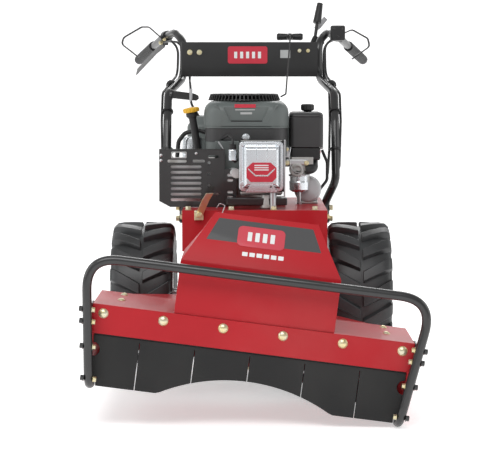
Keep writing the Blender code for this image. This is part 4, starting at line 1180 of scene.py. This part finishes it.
flutes = flute_cutters(12, 24.5 * MM, 3.2 * MM, 0, 20 * MM, Matrix.Translation(crown) @ lean)
stick = rod(crown + axis * 0.001, crown - axis * 0.15, 2 * MM, 1.4 * MM, 12)
grip = rounded(rod(crown + axis * 0.0125, crown + axis * 0.0142, 9 * MM, 8 * MM), 0.4 * MM, 1)
cap = joined(rounded(carved(cap, *flutes), 0.8 * MM, 2, 30), stick, grip)
settled(cap, "fluted_oil_cap", YELLOW, "yellow_plastic", "dipstick", "oil_cap")
collar = rounded(rod(crown - axis * 0.012, crown - axis * 0.001, 16.5 * MM), 1 * MM, 2)
collar = carved(collar, rod(crown - axis * 0.02, crown + axis * 0.01, 8 * MM))
settled(collar, "filler_collar", BLACK_PLASTIC, "dark_plastic", "chassis")
refined("starter_motor", CHROME, 2 * MM, 3, 45)
end_cap = rounded(rod(mm(-166, -60, 600), mm(-166, -60, 652), 29 * MM, 27 * MM), 5 * MM)
settled(end_cap, "starter_end_cap", CHROME, "chrome", "chassis")
for i, z in enumerate((520, 590)):
    hoop = rounded(rod(mm(-166, -60, z), mm(-166, -60, z + 5), 29.5 * MM, sides=32), 1 * MM, 2)
    settled(hoop, f"starter_band_{i + 1}", STEEL, "bright_steel", "chassis")
route = [(-208, -86, 596), (-204, -90, 640), (-186, -94, 664), (-150, -98, 672), (-120, -104, 664)]
settled(tube(bent(route, 26), 6), "starter_lead", BLACK_PLASTIC, "dark_plastic", "chassis")

# ---- Fuel tank ----
# A moulded tank behind the engine, with a seam round its middle where its halves meet.
# A steel strap holds it to the platform, and its black cap unscrews.
refined("fuel_tank", GREY_GREEN, 6 * MM, 4, 20)
low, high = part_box("fuel_tank")
seam = block((low.x - 2 * MM, low.y - 2 * MM, 640 * MM), (high.x + 2 * MM, high.y + 2 * MM, 646 * MM))
upright(seam)
bpy.ops.mesh.bevel(offset=42 * MM, segments=8)
bpy.ops.object.mode_set(mode="OBJECT")
settled(rounded(seam, 1.5 * MM, 2), "tank_seam", GREY_GREEN, "shroud_plastic", "chassis")
low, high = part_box("fuel_cap")
centre = (low + high) / 2
cap = rod((centre.x, centre.y, low.z), (centre.x, centre.y, high.z), 30 * MM, sides=40)
above = Matrix.Translation((centre.x, centre.y, 0))
notches = flute_cutters(16, 31 * MM, 3 * MM, low.z - MM, high.z + MM, above, 10)
cap = rounded(carved(cap, *notches), 1 * MM, 2)
settled(cap, "notched_fuel_cap", BLACK_PLASTIC, "dark_plastic", "tank_cap", "fuel_cap")
strap = rounded(block(mm(-150, 60, 558), mm(-120, 267, 561)), 1 * MM, 2)
settled(strap, "tank_strap", SATIN, "black_paint", "chassis")

# ---- Carburettor, fuel line and oil filter ----
# A die-cast body with its float bowl and drain bolt, a plastic elbow to the air cleaner and its linkage.
# The pale oil filter stands beside it and a rubber hose brings fuel from the tank.
refined("carburettor", CAST, 1.5 * MM, 3, 40)
flange = rounded(block(mm(94, -139, 576), mm(158, -131, 592)), 3 * MM)
settled(flange, "carburettor_flange", STEEL, "bright_steel", "chassis")
throat = rounded(rod(mm(127, -141, 563), mm(127, -110, 563), 19 * MM, 22 * MM, 32), 2 * MM)
throat = carved(throat, rod(mm(127, -150, 563), mm(127, -125, 563), 13 * MM, 11 * MM, 32))
settled(throat, "carburettor_throat", CAST, "cast_aluminium", "chassis")
profile = [(0, 500), (20, 500), (28, 506), (29, 528), (27, 530), (27, 546), (0, 546)]
bowl = turned(in_mm(profile), mm(134, -108, 0), steps=40)
settled(rounded(bowl, 1.5 * MM), "float_bowl", CHROME, "chrome", "chassis")
ring = rounded(rod(mm(134, -108, 544), mm(134, -108, 549), 30 * MM, sides=40), 1 * MM, 2)
settled(ring, "float_bowl_rim", STEEL, "bright_steel", "chassis")
stem = rounded(rod(mm(134, -110, 470), mm(134, -110, 500), 6 * MM, sides=18), 1 * MM, 2)
settled(stem, "bowl_drain_stem", STEEL, "bright_steel", "chassis")
bolt("bowl_drain_bolt", "hex", mm(134, -110, 470), (0, 0, -1), 15 * MM, "chassis", STEEL, "bright_steel")
for i, (x, z) in enumerate(((99, 582), (153, 582))):
    bolt(f"flange_nut_{i + 1}", "hex", mm(x, -139, z), (0, -1, 0), 11 * MM, "chassis")
CANISTER = printed("filter_enamel", (0.42, 0.42, 0.43), 0.28)
profile = [(0, 0), (36, 0), (38, 4), (38, 30), (34, 40), (26, 44), (0, 45)]
drum = turned(in_mm(profile), mm(158, -70, 506), (0, -1, 0), 48)
settled(rounded(drum, 2 * MM), "oil_filter", CANISTER, "bright_steel", "chassis")
foot = rounded(block(mm(132, -108, 466.2), mm(186, -70, 474)), 2 * MM)
settled(foot, "oil_filter_base", CAST, "cast_aluminium", "chassis")
elbow = tube(bent([(172, -90, 628), (172, -92, 590), (172, -128, 566), (150, -132, 563)], 26), 14)
settled(elbow, "intake_elbow", BLACK_PLASTIC, "dark_plastic", "chassis")
route = [(199, -60, 615), (214, -60, 580), (214, -60, 530), (191, -60, 500), (180, -70, 470)]
settled(tube(bent(route, 22), 4.2), "fuel_hose", BLACK_PLASTIC, "dark_plastic", "chassis")
route = [(110, -128, 625), (104, -138, 600), (112, -142, 560), (150, -138, 548)]
settled(tube(bent(route, 22), 1.6), "governor_link", STEEL, "bright_steel", "chassis")
arm = rounded(block(mm(92, -142, 598), mm(104, -139, 626)), 1 * MM, 2)
settled(arm, "governor_arm", STEEL, "bright_steel", "chassis")
bolt("governor_arm_bolt", "hex", mm(98, -142, 620), (0, -1, 0), 9 * MM, "chassis")
ball = rounded(rod(mm(187, -128, 612), mm(187, -121, 612), 6 * MM), 2 * MM)
settled(ball, "red_plug", RED_FILM, "red_paint", "chassis")
clip = rounded(block(mm(190, -128, 620), mm(200, -120, 632)), 2 * MM)
settled(clip, "pale_connector", SILVER_FILM, "shroud_plastic", "chassis")
link = rounded(rod(mm(-90, -207, 644), mm(-76, -207, 620), 2.6 * MM, sides=14), 0.8 * MM, 2)
settled(link, "choke_link", STEEL, "bright_steel", "chassis")
tag = rounded(block(mm(-112, -140, 640), mm(-104, -136, 690)), 1 * MM, 2)
settled(tag, "harness_tag", YELLOW, "yellow_plastic", "chassis")
panel = rounded(block(mm(-100, -206, 556), mm(-32, -201, 646)), 2 * MM)
settled(panel, "cooling_baffle", GREY_GREEN, "shroud_plastic", "chassis")

# ---- Starter rope and handle ----
# A braided cord from the recoil starter, past the left of the console, to a rubber pull behind it.
route = bent([(83, -80, 765), (97, -60, 772), (118, 322, 941), (118, 352, 944), (118, 366, 941)], 20, 8)
rope = tube(route, 2.2)
rope.name = "braided_rope"
rope.data.name = "braided_rope"
rope.data.materials.append(BELT)
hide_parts("starter_rope")
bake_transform(rope)
profile = [(0, 0), (8, 0), (11, 5), (9.5, 40), (11, 75), (8, 80), (0, 80)]
bar = turned(in_mm(profile), mm(78, 394, 941), (1, 0, 0), 32)
stem = rod(mm(118, 368, 941), mm(118, 392, 941), 9 * MM, 12 * MM)
pull = rounded(joined(bar, stem), 1.5 * MM)
settled(pull, "rubber_pull", BLACK_PLASTIC, "dark_plastic", "starter_grip", "starter_handle")

# ---- Handles, arms and console ----
# Two bent tubes rise from the platform to the grips, joined by a folded black panel.
# Cables run down them under ties, and a flat arm on the right tube carries the cable's end.


def textured_black():
    """Black powder coat on the console: a fine texture, with a little dust."""
    coat = Finish("textured_black", {"Specular IOR Level": 0.4})
    cloud = coat.noise(9.0, 3.0)
    black = coat.mix(cloud, (0.012, 0.012, 0.0125), (0.022, 0.022, 0.0225))
    dusty = coat.mix(coat.ramp(coat.noise(5.0, 4.0), (0.5, 0.0), (0.8, 0.25)), black, (0.06, 0.06, 0.06))
    coat.feed(Base_Color=dusty, Roughness=0.42 + cloud * 0.15)
    coat.bump(coat.noise(700.0, 2.0), 0.0002, 0.4)
    return coat.material


CONSOLE = textured_black()
for side, name in ((1, "left"), (-1, "right")):
    foot = 215.5 if side > 0 else 197.5
    corners = [(foot, 95, 396), (foot, 95, 455), (245, 75, 520), (245, 130, 690), (245, 195, 772)]
    corners += [(207, 388, 816), (205, 388, 924), (234, 450, 955), (276, 600, 946), (379, 965, 875)]
    line = bent([(side * x, y, z) for x, y, z in corners], 55, 12)
    settled(tube(line, 12, 6), f"bent_tube_{name}", SATIN, "black_paint", "chassis", f"handle_tube_{name}")
    start, end = Vector(corners[-1]).lerp(Vector(corners[-2]), 0.6), Vector(corners[-1])
    start, end = mm(side * start.x, start.y, start.z), mm(side * end.x, end.y, end.z)
    along = (end - start).normalized()
    profile = []
    for rib in range(0, int((end - start).length / (8 * MM)) * 8, 8):
        profile += [(16.4, rib + 0.4), (16.4, rib + 5), (14.9, rib + 5.8), (14.9, rib + 7.6)]
    length = (end - start).length / MM + 6
    profile += [(16, length - 6), (13, length), (0, length), (0, length - 5), (12.3, length - 5), (12.3, 0)]
    grip = rounded(turned(in_mm(profile), start, along, 32), 0)
    settled(grip, f"ribbed_grip_{name}", BLACK_PLASTIC, "dark_plastic", "chassis", f"grip_{name}")
    for i, z in enumerate((408, 440)):
        place = mm(side * (foot + 12), 95, z)
        bolt(f"handle_bolt_{name}_{i + 1}", "hex", place, (side, 0, 0), 15 * MM, "chassis")
    refined(f"hand_guard_{name}", BLACK_PLASTIC, 1.2 * MM, 2)
    clamp = tube([Vector((side * 262, 552, 947)), Vector((side * 272, 588, 946))], 17, 6)
    settled(rounded(clamp, 1 * MM, 2), f"guard_clamp_{name}", BLACK_PLASTIC, "dark_plastic", "chassis")
arm = tube([(-240, 190, 767), (-232, 189, 766)], 16, 5)
settled(rounded(arm, 1 * MM, 2), "cable_arm_clamp", SATIN, "black_paint", "chassis")
arm_outline = [(-238, 780), (-170, 771), (-156, 765), (-154, 756), (-162, 749), (-238, 757)]
arm = drawn(arm_outline, 4 * MM, facing_front(0, 186, 0))
settled(rounded(arm, 1 * MM, 2), "cable_arm_plate", SATIN, "black_paint", "chassis")
refined("console_panel", CONSOLE, 1 * MM, 3)
face = 330 * MM
for i, (x, z, across) in enumerate(((-186, 893, 13), (-157, 893, 13), (146, 898, 9), (172, 898, 9))):
    bolt(f"console_bolt_{i + 1}", "hex", (x * MM, face, z * MM), (0, -1, 0), across * MM, "chassis")
badge = drawn(round_box(60, 26, 7, (-11, 885)), 1.6 * MM, facing_front(0, 330.2, 0))
settled(rounded(badge, 0.5 * MM, 2), "console_badge", RED_FILM, "red_paint", "chassis")
for i in range(5):
    bar = drawn(round_box(4.6, 10, 1.2, (-47 + 18 * i, 885)), 1 * MM, facing_front(0, 329, 0))
    settled(rounded(bar, 0.3 * MM, 1), f"console_badge_bar_{i + 1}", WHITE_FILM, "chrome", "chassis")
label = rounded(block(mm(88, 329.4, 876), mm(118, 330.3, 900)), 0.3 * MM, 1)
settled(label, "console_label", SILVER_FILM, "dark_plastic", "chassis")
cables = {
    "left_cable_inner": [
        *((262, 560, 935), (238, 430, 925), (222, 396, 905), (222, 396, 830)),
        *((232, 240, 790), (230, 140, 700), (228, 118, 610), (222, 80, 540)),
    ],
    "left_cable_outer": [
        *((286, 600, 930), (250, 420, 935), (226, 400, 915), (228, 402, 826)),
        *((262, 200, 770), (262, 140, 690), (256, 90, 560), (232, 70, 500)),
    ],
    "right_cable": [
        *((-258, 560, 930), (-226, 420, 925), (-190, 396, 890), (-187, 360, 810)),
        *((-178, 180, 772), (-178, 176, 742), (-150, 120, 700)),
    ],
    "right_control_cable": [
        *((-286, 600, 925), (-246, 430, 930), (-224, 400, 905), (-226, 400, 826)),
        *((-262, 200, 772), (-262, 136, 690), (-258, 92, 545), (-226, 60, 500)),
    ],
}
for name, points in cables.items():
    settled(tube(bent(points, 40, 8), 3.6), name, BLACK_PLASTIC, "dark_plastic", "chassis")
ferrule = rounded(rod(mm(-178, 179, 784), mm(-178, 176, 744), 5 * MM, 4.2 * MM), 1 * MM, 2)
settled(ferrule, "cable_ferrule", STEEL, "bright_steel", "chassis")
ties = [((240, 292, 794), (-38, 193, 44)), ((245, 152, 718), (0, 65, 82)), ((245, 104, 610), (0, 55, 170))]
for side in (-1, 1):
    for i, (place, aim) in enumerate(ties):
        middle = mm(side * place[0], place[1], place[2])
        along = Vector((side * aim[0], aim[1], aim[2])).normalized()
        tie = rounded(rod(middle - along * 0.003, middle + along * 0.003, 16.4 * MM, sides=20), 0.8 * MM, 2)
        settled(tie, f"cable_tie_{side + 1}_{i + 1}", BLACK_PLASTIC, "dark_plastic", "chassis")

# ---- Controls ----
# A paddle under the right grip works the blade.
# The left side has the speed lever, the throttle and the switch box.
refined("blade_lever", SATIN, 1 * MM, 2)
refined("speed_lever", BLACK_PLASTIC, 2.5 * MM, 4, 40)
refined("throttle_lever", STEEL, 1 * MM, 2)
refined("control_box", BLACK_PLASTIC, 1.2 * MM, 2, 20)
bolt("blade_lever_bolt", "hex", mm(-283, 560, 926), (-0.8, -0.5, 0), 12 * MM, "blade_control")
clevis = rounded(block(mm(-284, 556, 918), mm(-262, 576, 944)), 2 * MM)
settled(clevis, "blade_lever_clevis", SATIN, "black_paint", "chassis")
bolt("clevis_bolt", "hex", mm(-273, 556, 936), (0, -1, 0), 11 * MM, "chassis")
for i, (x, z) in enumerate(((254, 966), (278, 966), (266, 942))):
    name, place = f"control_box_screw_{i + 1}", mm(x, 396, z)
    bolt(name, "dome", place, (0, -1, 0), 7 * MM, "chassis", BLACK_ZINC, "dark_plastic")
plate = rounded(block(mm(190, 440, 920), mm(226, 500, 926)), 1.5 * MM)
settled(plate, "speed_lever_plate", SATIN, "black_paint", "chassis")
boot = rounded(rod(mm(196.6, 453, 924), mm(198.6, 457, 944), 14 * MM, 7 * MM), 2 * MM)
settled(boot, "speed_lever_boot", BELT, "belt_rubber", "speed_control")

# ---- Deck lock latch ----
# A zinc-plated strap at the front of the platform, on a pivot bolt in a small bracket.
# It pins the deck level for work, and a bent spring wire stands beside it.
refined("deck_lock_latch", ZINC, 0.8 * MM, 2)
bolt("latch_pivot_bolt", "hex", mm(-140, -359, 456), (0, -1, 0), 14 * MM, "deck_latch")
route = [(-92, -348, 474), (-84, -352, 486), (-70, -350, 480), (-78, -352, 458), (-74, -350, 444)]
settled(tube(bent(route, 5, 6), 1.5), "latch_wire", STEEL, "bright_steel", "chassis")
bracket = rounded(block(mm(-152, -350, 440), mm(-128, -340, 466)), 1.5 * MM)
settled(bracket, "latch_bracket", ZINC, "yellow_zinc", "chassis")
